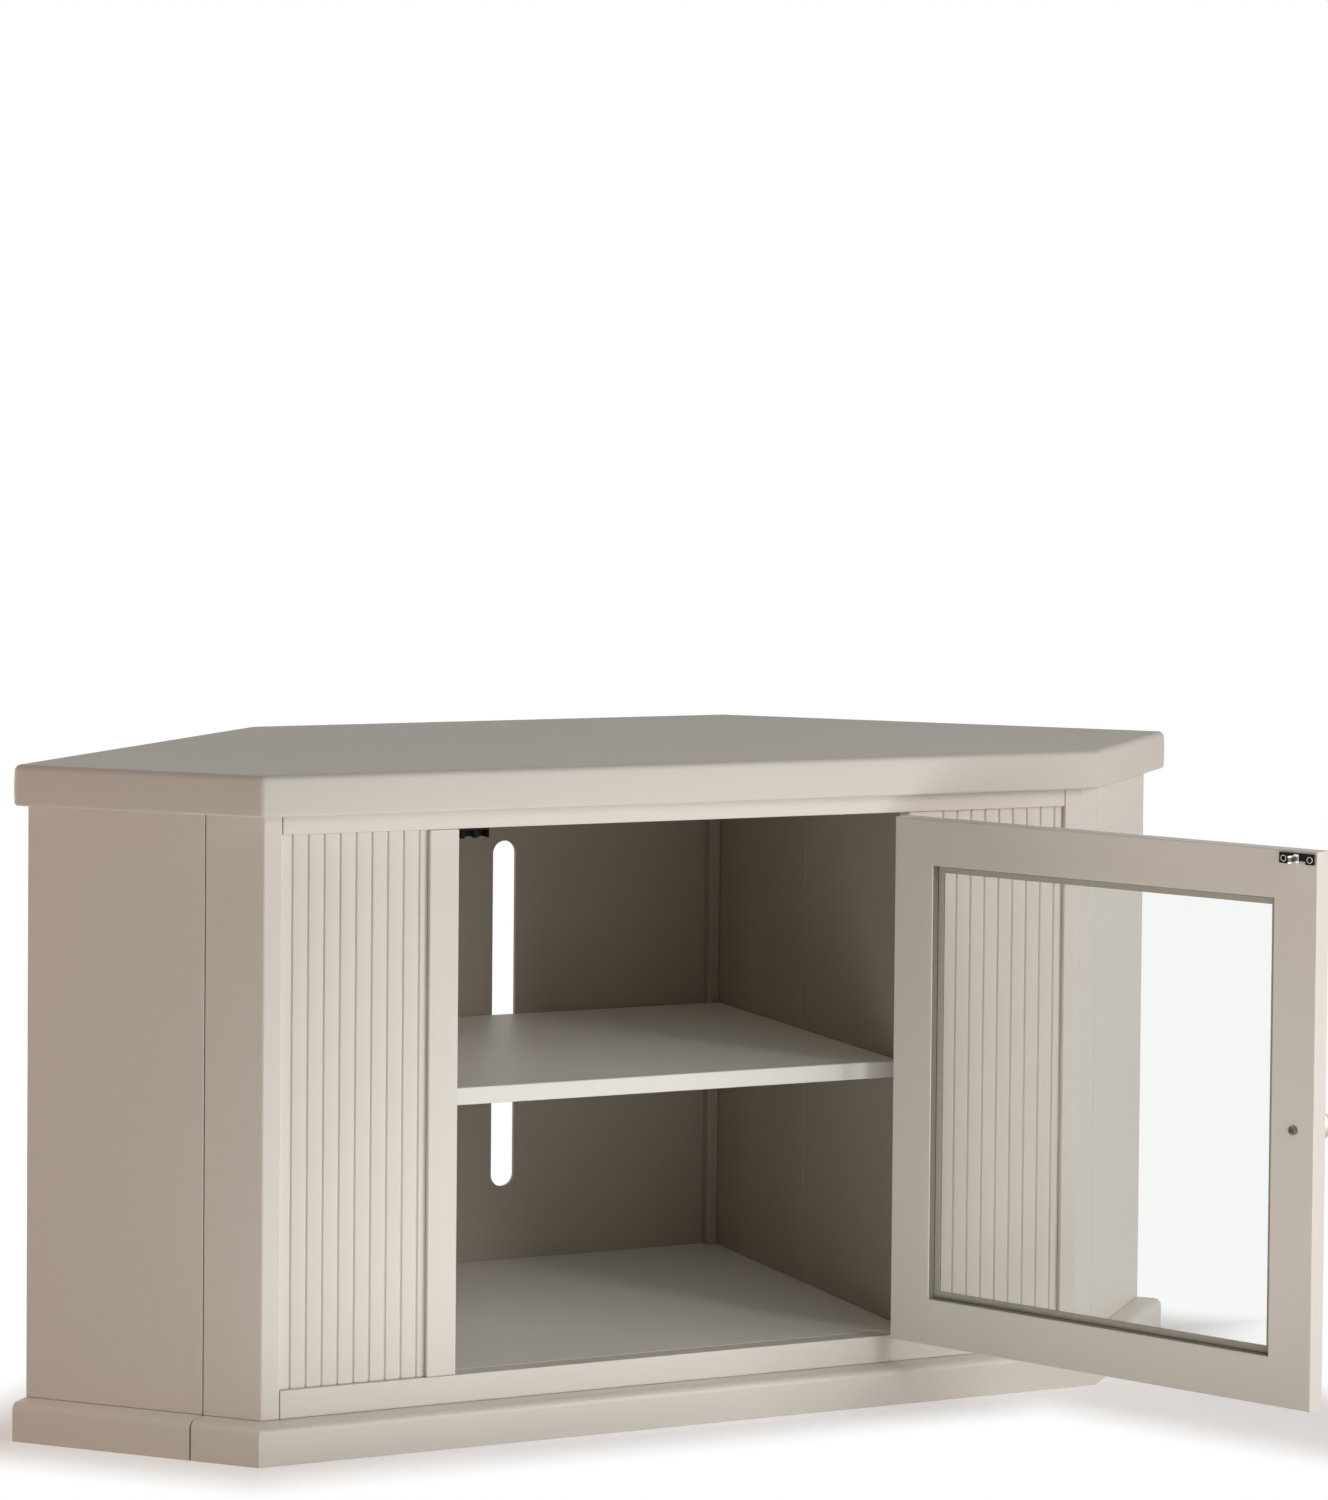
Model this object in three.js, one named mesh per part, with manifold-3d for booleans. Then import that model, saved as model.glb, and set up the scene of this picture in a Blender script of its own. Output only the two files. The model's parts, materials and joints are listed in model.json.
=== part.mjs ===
// A corner media cabinet with a glazed door, in millimetres.
// X runs to the right, Y to the back and Z up. The origin is on the floor, under the middle of the front face.
// The plan is a hexagon: a straight front, two sides that flare back, two wall faces and a narrow back.
import * as THREE from "three";
import { mergeVertices } from "three/addons/utils/BufferGeometryUtils.js";
import Module from "manifold-3d";

const wasm = await Module();
wasm.setup();

// Driving sizes of the case. The sides leave the front at half of a room corner's right angle.
const cabinetHeight = 610;
const frontWidth = 822.8;
const flareDepth = 167;
const bodyDepth = 488;
const flareAngle = Math.PI / 4;

// Fits shared by all pieces
const fit = 0.3;
const ease = 0.8;
const overrun = 4;
const joinDepth = 1;
const roundSteps = 5;
const boreSteps = 20;
const turningSteps = 32;

// Top slab
const topThickness = 37;
const topOverhang = 21;
const topWallLip = 6;
const topUpperRound = 6;
const topLowerRound = 3;

// Base frame with its moulding
const baseHeight = 35;
const baseOverhang = 24.6;
const baseRound = 7;
const baseFrameWidth = 45;

// Case boards
const postFace = 16.8;
const postLeg = 57.2;
const postThickness = 20;
const postArris = 2;
const seamGap = 0.8;
const sidePanelThickness = 18;
const wallPanelThickness = 9;
const cornerBlockWidth = 30;
const backThickness = 5;
const backRecess = 20;
const backEdgeGap = 1;

// Front frame
const railThickness = 20;
const headerFace = 17.8;
const bottomRailFace = 25.5;
const openingWidth = 453.8;
const jambFace = 28.2;
const beadboardRecess = 5;
const beadboardThickness = 9;
const groovePitch = 15;
const grooveWidth = 2.6;
const grooveDepth = 2.4;
const grooveMargin = 5;
const leftFirstGroove = 11;
const rightFirstGroove = 9.4;

// Inside of the case
const dividerSetback = 13.1;
const dividerThickness = 18;
const dividerFrontLength = 229;
const battenSize = 12;
const frontStretcherWidth = 60;
const rearStretcherWidth = 60;
const slotWidth = 25;
const slotShift = 3;
const slotLift = 74.5;
const slotDrop = 66;

// Shelf and its pins
const shelfThickness = 16;
const shelfTop = 314;
const shelfSetback = 39;
const shelfSideGap = 1;
const shelfRearGap = 2;
const shelfPinRadius = 2.5;
const shelfPinCollar = 4;
const shelfPinDepth = 9;
const shelfPinReach = 8;
const shelfPinInset = 45;

// Door frame, glass and glass beads
const doorGap = 1.55;
const doorThickness = 21;
const doorMember = 43;
const doorOpenAngle = THREE.MathUtils.degToRad(117.5);
const rabbetWidth = 8;
const doorInnerLip = 10;
const glassThickness = 3.2;
const beadWidth = 7.2;
const beadRound = 4;
const beadSetback = 0.6;

// Knob and its screw
const knobEdgeInset = 20.5;
const knobFootRadius = 7.5;
const knobNeckRadius = 5.5;
const knobHeadRadius = 15;
const knobFootHeight = 3;
const knobNeckHeight = 9;
const knobHeadHeight = 14;
const knobBoreRadius = 2.3;
const knobBoreDepth = 12;
const knobScrewRadius = 2;
const knobScrewGrip = 9;
const knobScrewHeadRadius = 4.2;
const knobScrewHeadHeight = 2.2;
const screwHoleRadius = 2.5;

// Butt hinges
const hingeLength = 63;
const hingeEndDistance = 62;
const hingePinProud = 5.5;
const leafThickness = 1.2;
const leafSpread = 0.35;
const leafDepth = 17;
const knuckleRadius = 3.6;
const knuckleBore = 1.9;
const knuckleCount = 5;
const knuckleGap = 0.4;
const knuckleRelief = 0.6;
const hingePinRadius = 1.6;
const hingePinHeadRadius = 3;
const hingePinHeadHeight = 2.4;
const leafScrewRadius = 2.6;
const leafScrewRise = 0.2;
const leafScrewInset = 10;

// Double roller catch and its strike
const strikeLength = 35;
const strikeHeight = 9.5;
const strikeThickness = 1.5;
const strikeEdgeInset = 2.3;
const strikeScrewRadius = 2.4;
const strikeScrewRise = 0.8;
const strikeScrewInset = 4.5;
const tongueHeight = 6.5;
const tongueNeck = 2.4;
const tongueBulb = 4;
const tongueBulbReach = 12;
const tongueReach = 14.5;
const tongueTip = 1;
const catchLength = 34;
const catchWidth = 16;
const catchDepth = 4.5;
const catchWall = 1.2;
const catchLip = 2.5;
const catchDoorGap = 3;
const jawLength = 8;
const rollerRadius = 3.5;
const rollerBore = 1.4;
const rollerLength = 7.8;
const rollerGap = 5.6;
const axleRadius = 1;
const axleHeadRadius = 2.2;
const axleHeadHeight = 0.9;

// Levels and places that follow from the sizes above
const topUnderside = cabinetHeight - topThickness;
const floorLevel = baseHeight + bottomRailFace;
const headerLevel = topUnderside - headerFace;
const bodyLow = baseHeight + fit;
const bodyHigh = topUnderside - fit;
const openingHalf = openingWidth / 2;
const jambOuter = openingHalf + jambFace;
const postInner = frontWidth / 2 - postFace;
const dividerInner = openingHalf + dividerSetback;
const dividerOuter = dividerInner + dividerThickness;
const backInner = bodyDepth - backRecess - backThickness;
const dividerJoint = railThickness + dividerFrontLength;
const catchFront = doorThickness + catchDoorGap;
const catchRear = catchFront + catchWidth;
const catchTop = headerLevel - fit;
const catchLow = catchTop - catchDepth;

// Finishes
const ivoryPaint = new THREE.MeshStandardMaterial({ color: 0xe8dfd2, roughness: 0.38, metalness: 0 });
const innerPaint = new THREE.MeshStandardMaterial({ color: 0xd9cebf, roughness: 0.5, metalness: 0 });
const clearGlass = new THREE.MeshStandardMaterial({
  color: 0xf2f7f5, roughness: 0.03, metalness: 0, transparent: true, opacity: 0.2,
});
const nickel = new THREE.MeshStandardMaterial({ color: 0x9a958c, roughness: 0.32, metalness: 1 });
const blackSteel = new THREE.MeshStandardMaterial({ color: 0x2b2826, roughness: 0.45, metalness: 0.8 });
const blackNylon = new THREE.MeshStandardMaterial({ color: 0x1c1a19, roughness: 0.5, metalness: 0 });

// Plan geometry of the body

const vec = (x, y) => new THREE.Vector2(x, y);
const alongSide = vec(Math.cos(flareAngle), Math.sin(flareAngle));
const sideNormal = vec(Math.sin(flareAngle), -Math.cos(flareAngle));
const alongWall = sideNormal.clone().negate();
const wallNormal = alongSide.clone();
const frontCorner = vec(frontWidth / 2, 0);
const sideLength = flareDepth / Math.sin(flareAngle);
const sideCorner = frontCorner.clone().addScaledVector(alongSide, sideLength);

// Right-hand corners of the plan, with its faces moved outwards by the given amounts
function planCorners({ front = 0, side = 0, wall = 0, back = 0 }) {
  const frontRun = (side * Math.cos(flareAngle) - front) / Math.sin(flareAngle);
  const frontPoint = frontCorner.clone().addScaledVector(sideNormal, side);
  frontPoint.addScaledVector(alongSide, frontRun);
  const sidePoint = sideCorner.clone().addScaledVector(sideNormal, side);
  sidePoint.addScaledVector(wallNormal, wall);
  const wallStart = sideCorner.clone().addScaledVector(wallNormal, wall);
  const wallRun = (bodyDepth + back - wallStart.y) / alongWall.y;
  const backPoint = wallStart.addScaledVector(alongWall, wallRun);
  return [frontPoint, sidePoint, backPoint];
}

// The whole six-sided plan, anticlockwise from above
function planOutline(offsets) {
  const right = planCorners(offsets);
  return [...right, ...handed(right, -1)];
}

// Points of the right-hand side as given, or of the left-hand side by reflection
function handed(points, hand) {
  if (hand > 0) return points.map((point) => point.clone());
  return points.map((point) => vec(-point.x, point.y)).reverse();
}

// How far the inside reaches along the wall panels' normal
const insideReach = sideCorner.dot(wallNormal) - wallPanelThickness - fit;

// The part of a convex outline that lies inside both wall panels
function insideWalls(points) {
  return [wallNormal, vec(-wallNormal.x, wallNormal.y)].reduce((outline, normal) => (
    outline.flatMap((point, index) => {
      const next = outline[(index + 1) % outline.length];
      const here = insideReach - point.dot(normal);
      const there = insideReach - next.dot(normal);
      const kept = here >= 0 ? [point] : [];
      return here * there < 0 ? [...kept, point.clone().lerp(next, here / (here - there))] : kept;
    })
  ), points);
}

// A point in the right-hand side corner: so far along the wall, and so far forward along the side
function cornerPoint(wallRun, sideRun) {
  return sideCorner.clone().addScaledVector(alongWall, wallRun).addScaledVector(wallNormal, -sideRun);
}

function rectangle(x0, x1, y0, y1) {
  return [vec(x0, y0), vec(x1, y0), vec(x1, y1), vec(x0, y1)];
}

// Building blocks

// Cuts each corner of an outline back by the same small amount
function easedOutline(points, cutBack) {
  return points.flatMap((point, index) => {
    const before = points[(index + points.length - 1) % points.length];
    const after = points[(index + 1) % points.length];
    return [before, after].map((other) => (
      point.clone().addScaledVector(other.clone().sub(point).normalize(), cutBack)
    ));
  });
}

// Moves every edge of an anticlockwise outline inwards by the same amount
function drawnIn(points, inset) {
  return points.map((point, index) => {
    const before = points[(index + points.length - 1) % points.length];
    const after = points[(index + 1) % points.length];
    const [first, second] = [[before, point], [point, after]].map(([from, to]) => {
      const run = to.clone().sub(from).normalize();
      return vec(run.y, -run.x);
    });
    const mitre = first.clone().add(second).divideScalar(1 + first.dot(second));
    return point.clone().addScaledVector(mitre, -inset);
  });
}

// A board standing on its anticlockwise plan outline, with all its edges broken by the given amount
function board(points, low, high, broken = ease) {
  const full = broken > 0 ? easedOutline(points, broken) : points;
  const face = broken > 0 ? easedOutline(drawnIn(points, broken), broken / 2) : points;
  const levels = broken > 0
    ? [[face, low], [full, low + broken], [full, high - broken], [face, high]]
    : [[full, low], [full, high]];
  const rings = levels.map(([outline, z]) => outline.map((p) => new THREE.Vector3(p.x, p.y, z)));
  return loft(rings, face);
}

// A plain block between two corners, used for cutting and joining
function block(x0, x1, y0, y1, z0, z1) {
  const geometry = new THREE.BoxGeometry(x1 - x0, y1 - y0, z1 - z0);
  return geometry.translate((x0 + x1) / 2, (y0 + y1) / 2, (z0 + z1) / 2);
}

// A skin through rings of equal count, closed by its first and last ring
function loft(rings, capOutline) {
  const count = rings[0].length;
  const positions = rings.flat().flatMap((point) => [point.x, point.y, point.z]);
  const index = [];
  for (let ring = 0; ring < rings.length - 1; ring += 1) {
    for (let i = 0; i < count; i += 1) {
      const a = ring * count + i;
      const b = ring * count + ((i + 1) % count);
      index.push(a, b, b + count, a, b + count, a + count);
    }
  }
  const last = (rings.length - 1) * count;
  THREE.ShapeUtils.triangulateShape(capOutline, []).forEach(([a, b, c]) => {
    index.push(a, c, b, last + a, last + b, last + c);
  });
  const geometry = new THREE.BufferGeometry();
  geometry.setAttribute("position", new THREE.Float32BufferAttribute(positions, 3));
  geometry.setIndex(index);
  return geometry;
}

// Points of a quarter turn from one radius direction to the next, as insets and heights
function quarterTurn(radius, fromAngle) {
  return Array.from({ length: roundSteps + 1 }, (_, step) => {
    const angle = fromAngle + (Math.PI / 2) * (step / roundSteps);
    return vec(radius * Math.cos(angle), radius * Math.sin(angle));
  });
}

// A moulding whose section, in outward offset and height, follows a path in plan with mitred corners
function mitredMoulding(path, section) {
  const normals = path.slice(1).map((point, index) => {
    const run = point.clone().sub(path[index]).normalize();
    return vec(run.y, -run.x);
  });
  const rings = path.map((point, index) => {
    const before = normals[Math.max(index - 1, 0)];
    const after = normals[Math.min(index, normals.length - 1)];
    const mitre = before.clone().add(after).divideScalar(1 + before.dot(after));
    return section.map((mark) => new THREE.Vector3(
      point.x + mitre.x * mark.x, point.y + mitre.y * mark.x, mark.y,
    ));
  });
  return loft(rings.reverse(), section);
}

// A turned piece from its half profile, with its axis upright
function turned(profile, steps = boreSteps) {
  return new THREE.LatheGeometry(profile, steps).rotateX(Math.PI / 2);
}

function rod(radius, low, high, steps = boreSteps) {
  return turned([vec(0, low), vec(radius, low), vec(radius, high), vec(0, high)], steps);
}

function sleeve(radius, bore, low, high, steps = boreSteps) {
  const ring = [vec(bore, low), vec(radius, low), vec(radius, high), vec(bore, high), vec(bore, low)];
  return turned(ring, steps);
}

// A closed geometry made ready for cutting and joining; slivers on a turning axis fall away
function solid(geometry) {
  const bare = new THREE.BufferGeometry();
  bare.setAttribute("position", geometry.getAttribute("position"));
  bare.setIndex(geometry.index);
  const welded = mergeVertices(bare);
  const corners = welded.index.array;
  const triangles = [];
  for (let i = 0; i < corners.length; i += 3) {
    const [a, b, c] = [corners[i], corners[i + 1], corners[i + 2]];
    if (a !== b && b !== c && c !== a) triangles.push(a, b, c);
  }
  return new wasm.Manifold(new wasm.Mesh({
    numProp: 3,
    vertProperties: new Float32Array(welded.getAttribute("position").array),
    triVerts: new Uint32Array(triangles),
  }));
}

function toGeometry(shape) {
  const mesh = shape.getMesh();
  const geometry = new THREE.BufferGeometry();
  geometry.setAttribute("position", new THREE.BufferAttribute(mesh.vertProperties, mesh.numProp));
  geometry.setIndex(new THREE.BufferAttribute(mesh.triVerts, 1));
  return geometry;
}

function cut(geometry, ...cutters) {
  return toGeometry(cutters.reduce((rest, cutter) => rest.subtract(solid(cutter)), solid(geometry)));
}

function join(geometry, ...others) {
  return toGeometry(others.reduce((sum, other) => sum.add(solid(other)), solid(geometry)));
}

const cabinet = new THREE.Group();

function addPiece(parent, name, geometry, material) {
  geometry.computeVertexNormals();
  const mesh = new THREE.Mesh(geometry, material);
  mesh.name = name;
  parent.add(mesh);
  return mesh;
}

const hands = [{ side: "left", hand: -1 }, { side: "right", hand: 1 }];

// Top slab: the six-sided plan, drawn in round its upper and lower edges
function topSlab() {
  const lower = quarterTurn(topLowerRound, -Math.PI / 2)
    .map((mark) => ({ inset: topLowerRound - mark.x, z: topUnderside + topLowerRound + mark.y }));
  const upper = quarterTurn(topUpperRound, 0)
    .map((mark) => ({ inset: topUpperRound - mark.x, z: cabinetHeight - topUpperRound + mark.y }));
  const outlines = [...lower, ...upper].map(({ inset, z }) => ({
    z,
    outline: planOutline({
      front: topOverhang - inset,
      side: topOverhang - inset,
      wall: topWallLip - inset,
      back: topWallLip - inset,
    }),
  }));
  const rings = outlines.map(({ outline, z }) => outline.map((p) => new THREE.Vector3(p.x, p.y, z)));
  return loft(rings, outlines[0].outline);
}

// Base moulding section: a plank that runs under the case, rounded over at its outer upper edge
function baseSection() {
  const nose = quarterTurn(baseRound, 0)
    .map((mark) => vec(baseOverhang - baseRound + mark.x, baseHeight - baseRound + mark.y));
  return [vec(-baseFrameWidth, 0), vec(baseOverhang, 0), ...nose, vec(-baseFrameWidth, baseHeight)];
}

function addBase() {
  const seam = frontCorner.clone().addScaledVector(alongSide, postLeg);
  const frontPath = [...handed([frontCorner, seam], -1), frontCorner, seam];
  addPiece(cabinet, "base_front", mitredMoulding(frontPath, baseSection()), ivoryPaint);
  const [, , outerBack] = planCorners({});
  const [, , innerBack] = planCorners({ wall: -baseFrameWidth, back: -baseFrameWidth });
  const mitreShift = alongWall.clone().multiplyScalar(-fit);
  hands.forEach(({ side, hand }) => {
    const sidePath = [seam.clone().addScaledVector(alongSide, seamGap), sideCorner];
    addPiece(cabinet, `base_side_${side}`, mitredMoulding(handed(sidePath, hand), baseSection()), ivoryPaint);
    const wallRail = [
      cornerPoint(baseFrameWidth + fit, 0),
      outerBack.clone().add(mitreShift),
      innerBack.clone().add(mitreShift),
      cornerPoint(baseFrameWidth + fit, baseFrameWidth),
    ];
    addPiece(cabinet, `base_wall_rail_${side}`, board(handed(wallRail, hand), 0, baseHeight), innerPaint);
  });
  const backRail = [innerBack, outerBack, ...handed([innerBack, outerBack], -1)];
  addPiece(cabinet, "base_back_rail", board(backRail, 0, baseHeight), innerPaint);
}

// Corner posts: one bent board that turns from the front on to the flared side
function addPosts() {
  const seam = frontCorner.clone().addScaledVector(alongSide, postLeg);
  const [innerCorner] = planCorners({ front: -postThickness, side: -postThickness });
  const roundedCorner = [
    frontCorner.clone().add(vec(-postArris, 0)),
    frontCorner.clone().addScaledVector(alongSide, postArris),
  ];
  const outline = [
    vec(postInner, 0),
    ...roundedCorner,
    seam,
    seam.clone().addScaledVector(sideNormal, -postThickness),
    innerCorner,
    vec(postInner, postThickness),
  ];
  hands.forEach(({ side, hand }) => {
    addPiece(cabinet, `post_${side}`, board(handed(outline, hand), bodyLow, bodyHigh), ivoryPaint);
  });
}

// Side and wall panels, with the block that ties them in the side corner
function addOuterPanels() {
  const sideRun = sideLength - postLeg - seamGap;
  const sidePanel = [
    cornerPoint(sidePanelThickness, sideRun),
    cornerPoint(0, sideRun),
    cornerPoint(0, 0),
    cornerPoint(sidePanelThickness, 0),
  ];
  const [, , wallEnd] = planCorners({});
  const [, , wallEndInner] = planCorners({ wall: -wallPanelThickness });
  const wallPanel = [
    cornerPoint(sidePanelThickness + fit, 0),
    wallEnd,
    wallEndInner,
    cornerPoint(sidePanelThickness + fit, wallPanelThickness),
  ];
  const blockNear = vec(sidePanelThickness + fit, wallPanelThickness + fit);
  const blockFar = blockNear.clone().addScalar(cornerBlockWidth);
  const cornerBlock = [
    cornerPoint(blockNear.x, blockNear.y),
    cornerPoint(blockFar.x, blockNear.y),
    cornerPoint(blockFar.x, blockFar.y),
    cornerPoint(blockNear.x, blockFar.y),
  ];
  hands.forEach(({ side, hand }) => {
    addPiece(cabinet, `side_panel_${side}`, board(handed(sidePanel, hand), bodyLow, bodyHigh), ivoryPaint);
    addPiece(cabinet, `wall_panel_${side}`, board(handed(wallPanel, hand), bodyLow, bodyHigh), innerPaint);
    addPiece(
      cabinet, `corner_block_${side}`,
      board(handed(cornerBlock, hand), floorLevel + fit, bodyHigh), innerPaint,
    );
  });
}

// Back panel with one upright cable slot, round at both ends
function addBackPanel() {
  const [edge, innerEdge] = [0, backThickness].map((depth) => planCorners({
    wall: -wallPanelThickness - backEdgeGap, back: -backRecess - depth,
  })[2]);
  const outline = [edge, vec(-edge.x, edge.y), vec(-innerEdge.x, innerEdge.y), innerEdge];
  const slotRadius = slotWidth / 2;
  const slotLow = floorLevel + slotLift + slotRadius;
  const slotHigh = headerLevel - slotDrop - slotRadius;
  const middle = (backInner + bodyDepth) / 2;
  const slotEnd = (height) => rod(slotRadius, -bodyDepth / 2, bodyDepth / 2, turningSteps)
    .rotateX(Math.PI / 2)
    .translate(slotShift, middle, height);
  const slotBody = block(
    slotShift - slotRadius, slotShift + slotRadius, backInner - overrun, bodyDepth, slotLow, slotHigh,
  );
  const slotted = cut(board(outline, bodyLow, bodyHigh), slotBody, slotEnd(slotLow), slotEnd(slotHigh));
  addPiece(cabinet, "back_panel", slotted, innerPaint);
}

// Floor of the case, lying on the base frame inside the outer panels
function addFloorPanel() {
  const outline = planOutline({
    front: -railThickness - fit,
    side: -postThickness - fit,
    wall: -wallPanelThickness - fit,
    back: backInner - bodyDepth - fit,
  });
  addPiece(cabinet, "floor_panel", board(outline, bodyLow, floorLevel), innerPaint);
}

// Header and bottom rail between the posts, and the jambs beside the door opening
function addFrontFrame() {
  const railHalf = postInner - seamGap;
  const rail = rectangle(-railHalf, railHalf, 0, railThickness);
  addPiece(cabinet, "header_rail", board(rail, headerLevel, bodyHigh), ivoryPaint);
  addPiece(cabinet, "bottom_rail", board(rail, bodyLow, floorLevel), ivoryPaint);
}

function jamb(hand) {
  const outline = rectangle(openingHalf, jambOuter, 0, railThickness);
  return board(handed(outline, hand), floorLevel + fit, headerLevel - fit);
}

// Beadboard: a thin panel with upright grooves at one pitch, counted from the post
function beadboard(hand, firstGroove) {
  const near = postInner - fit;
  const far = jambOuter + fit;
  const face = beadboardRecess;
  const rear = beadboardRecess + beadboardThickness;
  const points = [vec(far, rear), vec(far, face)];
  const grooves = [];
  for (let inset = firstGroove; inset < postInner - jambOuter - grooveMargin; inset += groovePitch) {
    grooves.unshift(postInner - inset);
  }
  grooves.forEach((middle) => {
    points.push(
      vec(middle - grooveWidth / 2, face),
      vec(middle - grooveWidth / 4, face + grooveDepth),
      vec(middle + grooveWidth / 4, face + grooveDepth),
      vec(middle + grooveWidth / 2, face),
    );
  });
  points.push(vec(near, face), vec(near, rear));
  return board(handed(points, hand), floorLevel + fit, headerLevel - fit, 0);
}

// Shelf pin places along the dividers, as far back as the wall panels leave room, and their height
const shelfRear = backInner - battenSize - shelfRearGap;
const dividerReach = (insideReach - dividerOuter * wallNormal.x) / wallNormal.y;
const shelfPinPlaces = {
  front: shelfSetback + shelfPinInset,
  rear: Math.min(shelfRear, dividerReach) - shelfPinInset,
};
const shelfPinHeight = shelfTop - shelfThickness - fit - shelfPinCollar;

// Scaling by a hand turns a geometry inside out, so its faces are turned back
function mirrored(geometry, hand) {
  if (hand > 0) return geometry;
  const flipped = geometry.clone().scale(hand, 1, 1);
  const order = flipped.index.array;
  for (let i = 0; i < order.length; i += 3) {
    [order[i], order[i + 1]] = [order[i + 1], order[i]];
  }
  return flipped;
}

// Dividers: a front and a rear board on each side of the compartments, drilled for the shelf pins
function addDividers() {
  const runs = {
    front: [railThickness + fit, dividerJoint],
    rear: [dividerJoint + fit, backInner - fit],
  };
  hands.forEach(({ side, hand }) => {
    Object.entries(runs).forEach(([place, [y0, y1]]) => {
      const hole = rod(shelfPinRadius + fit, dividerInner - overrun, dividerInner + shelfPinDepth + fit)
        .rotateY(Math.PI / 2)
        .translate(0, shelfPinPlaces[place], shelfPinHeight);
      const outline = insideWalls(rectangle(dividerInner, dividerOuter, y0, y1));
      const plank = board(outline, floorLevel + fit, bodyHigh);
      addPiece(cabinet, `divider_${place}_${side}`, mirrored(cut(plank, hole), hand), innerPaint);
    });
  });
}

// Stretchers under the top and the battens that hold the back panel
function addInnerFrame() {
  const half = dividerInner - fit;
  const frontStretcher = rectangle(-half, half, railThickness + fit, railThickness + frontStretcherWidth);
  addPiece(cabinet, "front_stretcher", board(frontStretcher, headerLevel, bodyHigh), innerPaint);
  const rearStretcher = rectangle(-half, half, backInner - rearStretcherWidth, backInner - fit);
  addPiece(cabinet, "rear_stretcher", board(insideWalls(rearStretcher), headerLevel, bodyHigh), innerPaint);
  const [, , wallEdge] = planCorners({ wall: -wallPanelThickness - fit, back: backInner - bodyDepth });
  const outer = Math.min(half, wallEdge.x);
  const batten = rectangle(outer - battenSize, outer, backInner - battenSize, backInner - fit);
  hands.forEach(({ side, hand }) => {
    addPiece(
      cabinet, `back_batten_${side}`,
      board(handed(batten, hand), floorLevel + fit, headerLevel - fit), innerPaint,
    );
  });
}

// Shelf on four pins, each with a shank in the divider and a collar under the shelf
function addShelf() {
  const half = dividerInner - shelfSideGap;
  const outline = insideWalls(rectangle(-half, half, shelfSetback, shelfRear));
  addPiece(cabinet, "shelf", board(outline, shelfTop - shelfThickness, shelfTop), innerPaint);
  const profile = [
    vec(0, dividerInner - shelfPinReach),
    vec(shelfPinCollar, dividerInner - shelfPinReach),
    vec(shelfPinCollar, dividerInner - fit),
    vec(shelfPinRadius, dividerInner - fit),
    vec(shelfPinRadius, dividerInner + shelfPinDepth),
    vec(0, dividerInner + shelfPinDepth),
  ];
  hands.forEach(({ side, hand }) => {
    Object.entries(shelfPinPlaces).forEach(([place, along]) => {
      const pin = turned(profile).rotateY(Math.PI / 2).translate(0, along, shelfPinHeight);
      addPiece(cabinet, `shelf_pin_${place}_${side}`, mirrored(pin, hand), nickel);
    });
  });
}

// Places of the door and its hinges, with the door closed
const doorHalf = openingHalf - doorGap;
const doorLow = floorLevel + doorGap;
const doorHigh = headerLevel - doorGap;
const paneHalf = doorHalf - doorMember;
const paneLow = doorLow + doorMember;
const paneHigh = doorHigh - doorMember;
const pinX = openingHalf - doorGap / 2;
const pinY = -hingePinProud;
const hingePlaces = {
  top: doorHigh - hingeEndDistance - hingeLength / 2,
  bottom: doorLow + hingeEndDistance + hingeLength / 2,
};
const strikeX = -doorHalf + strikeEdgeInset + strikeLength / 2;
const strikeZ = catchLow - fit - tongueHeight / 2;
const knobX = -doorHalf + knobEdgeInset;
const knobZ = (doorLow + doorHigh) / 2;

const door = new THREE.Group();
door.position.set(pinX, pinY, 0);
door.rotation.z = doorOpenAngle;
cabinet.add(door);

// Puts a piece drawn on the closed door into the door's own group
function addDoorPiece(name, geometry, material) {
  return addPiece(door, name, geometry.translate(-pinX, -pinY, 0), material);
}

// The pocket that lets a hinge leaf into the wood beside it
function leafPocket(height, hand) {
  const inner = pinX + hand * (leafSpread + leafThickness + fit);
  const outer = pinX - hand * overrun;
  const x0 = Math.min(inner, outer);
  const x1 = Math.max(inner, outer);
  const half = hingeLength / 2 + fit;
  return block(x0, x1, -overrun, leafDepth + fit, height - half, height + half);
}

function addJambs() {
  addPiece(cabinet, "jamb_left", jamb(-1), ivoryPaint);
  const pockets = Object.values(hingePlaces).map((height) => leafPocket(height, 1));
  addPiece(cabinet, "jamb_right", cut(jamb(1), ...pockets), ivoryPaint);
}

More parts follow.
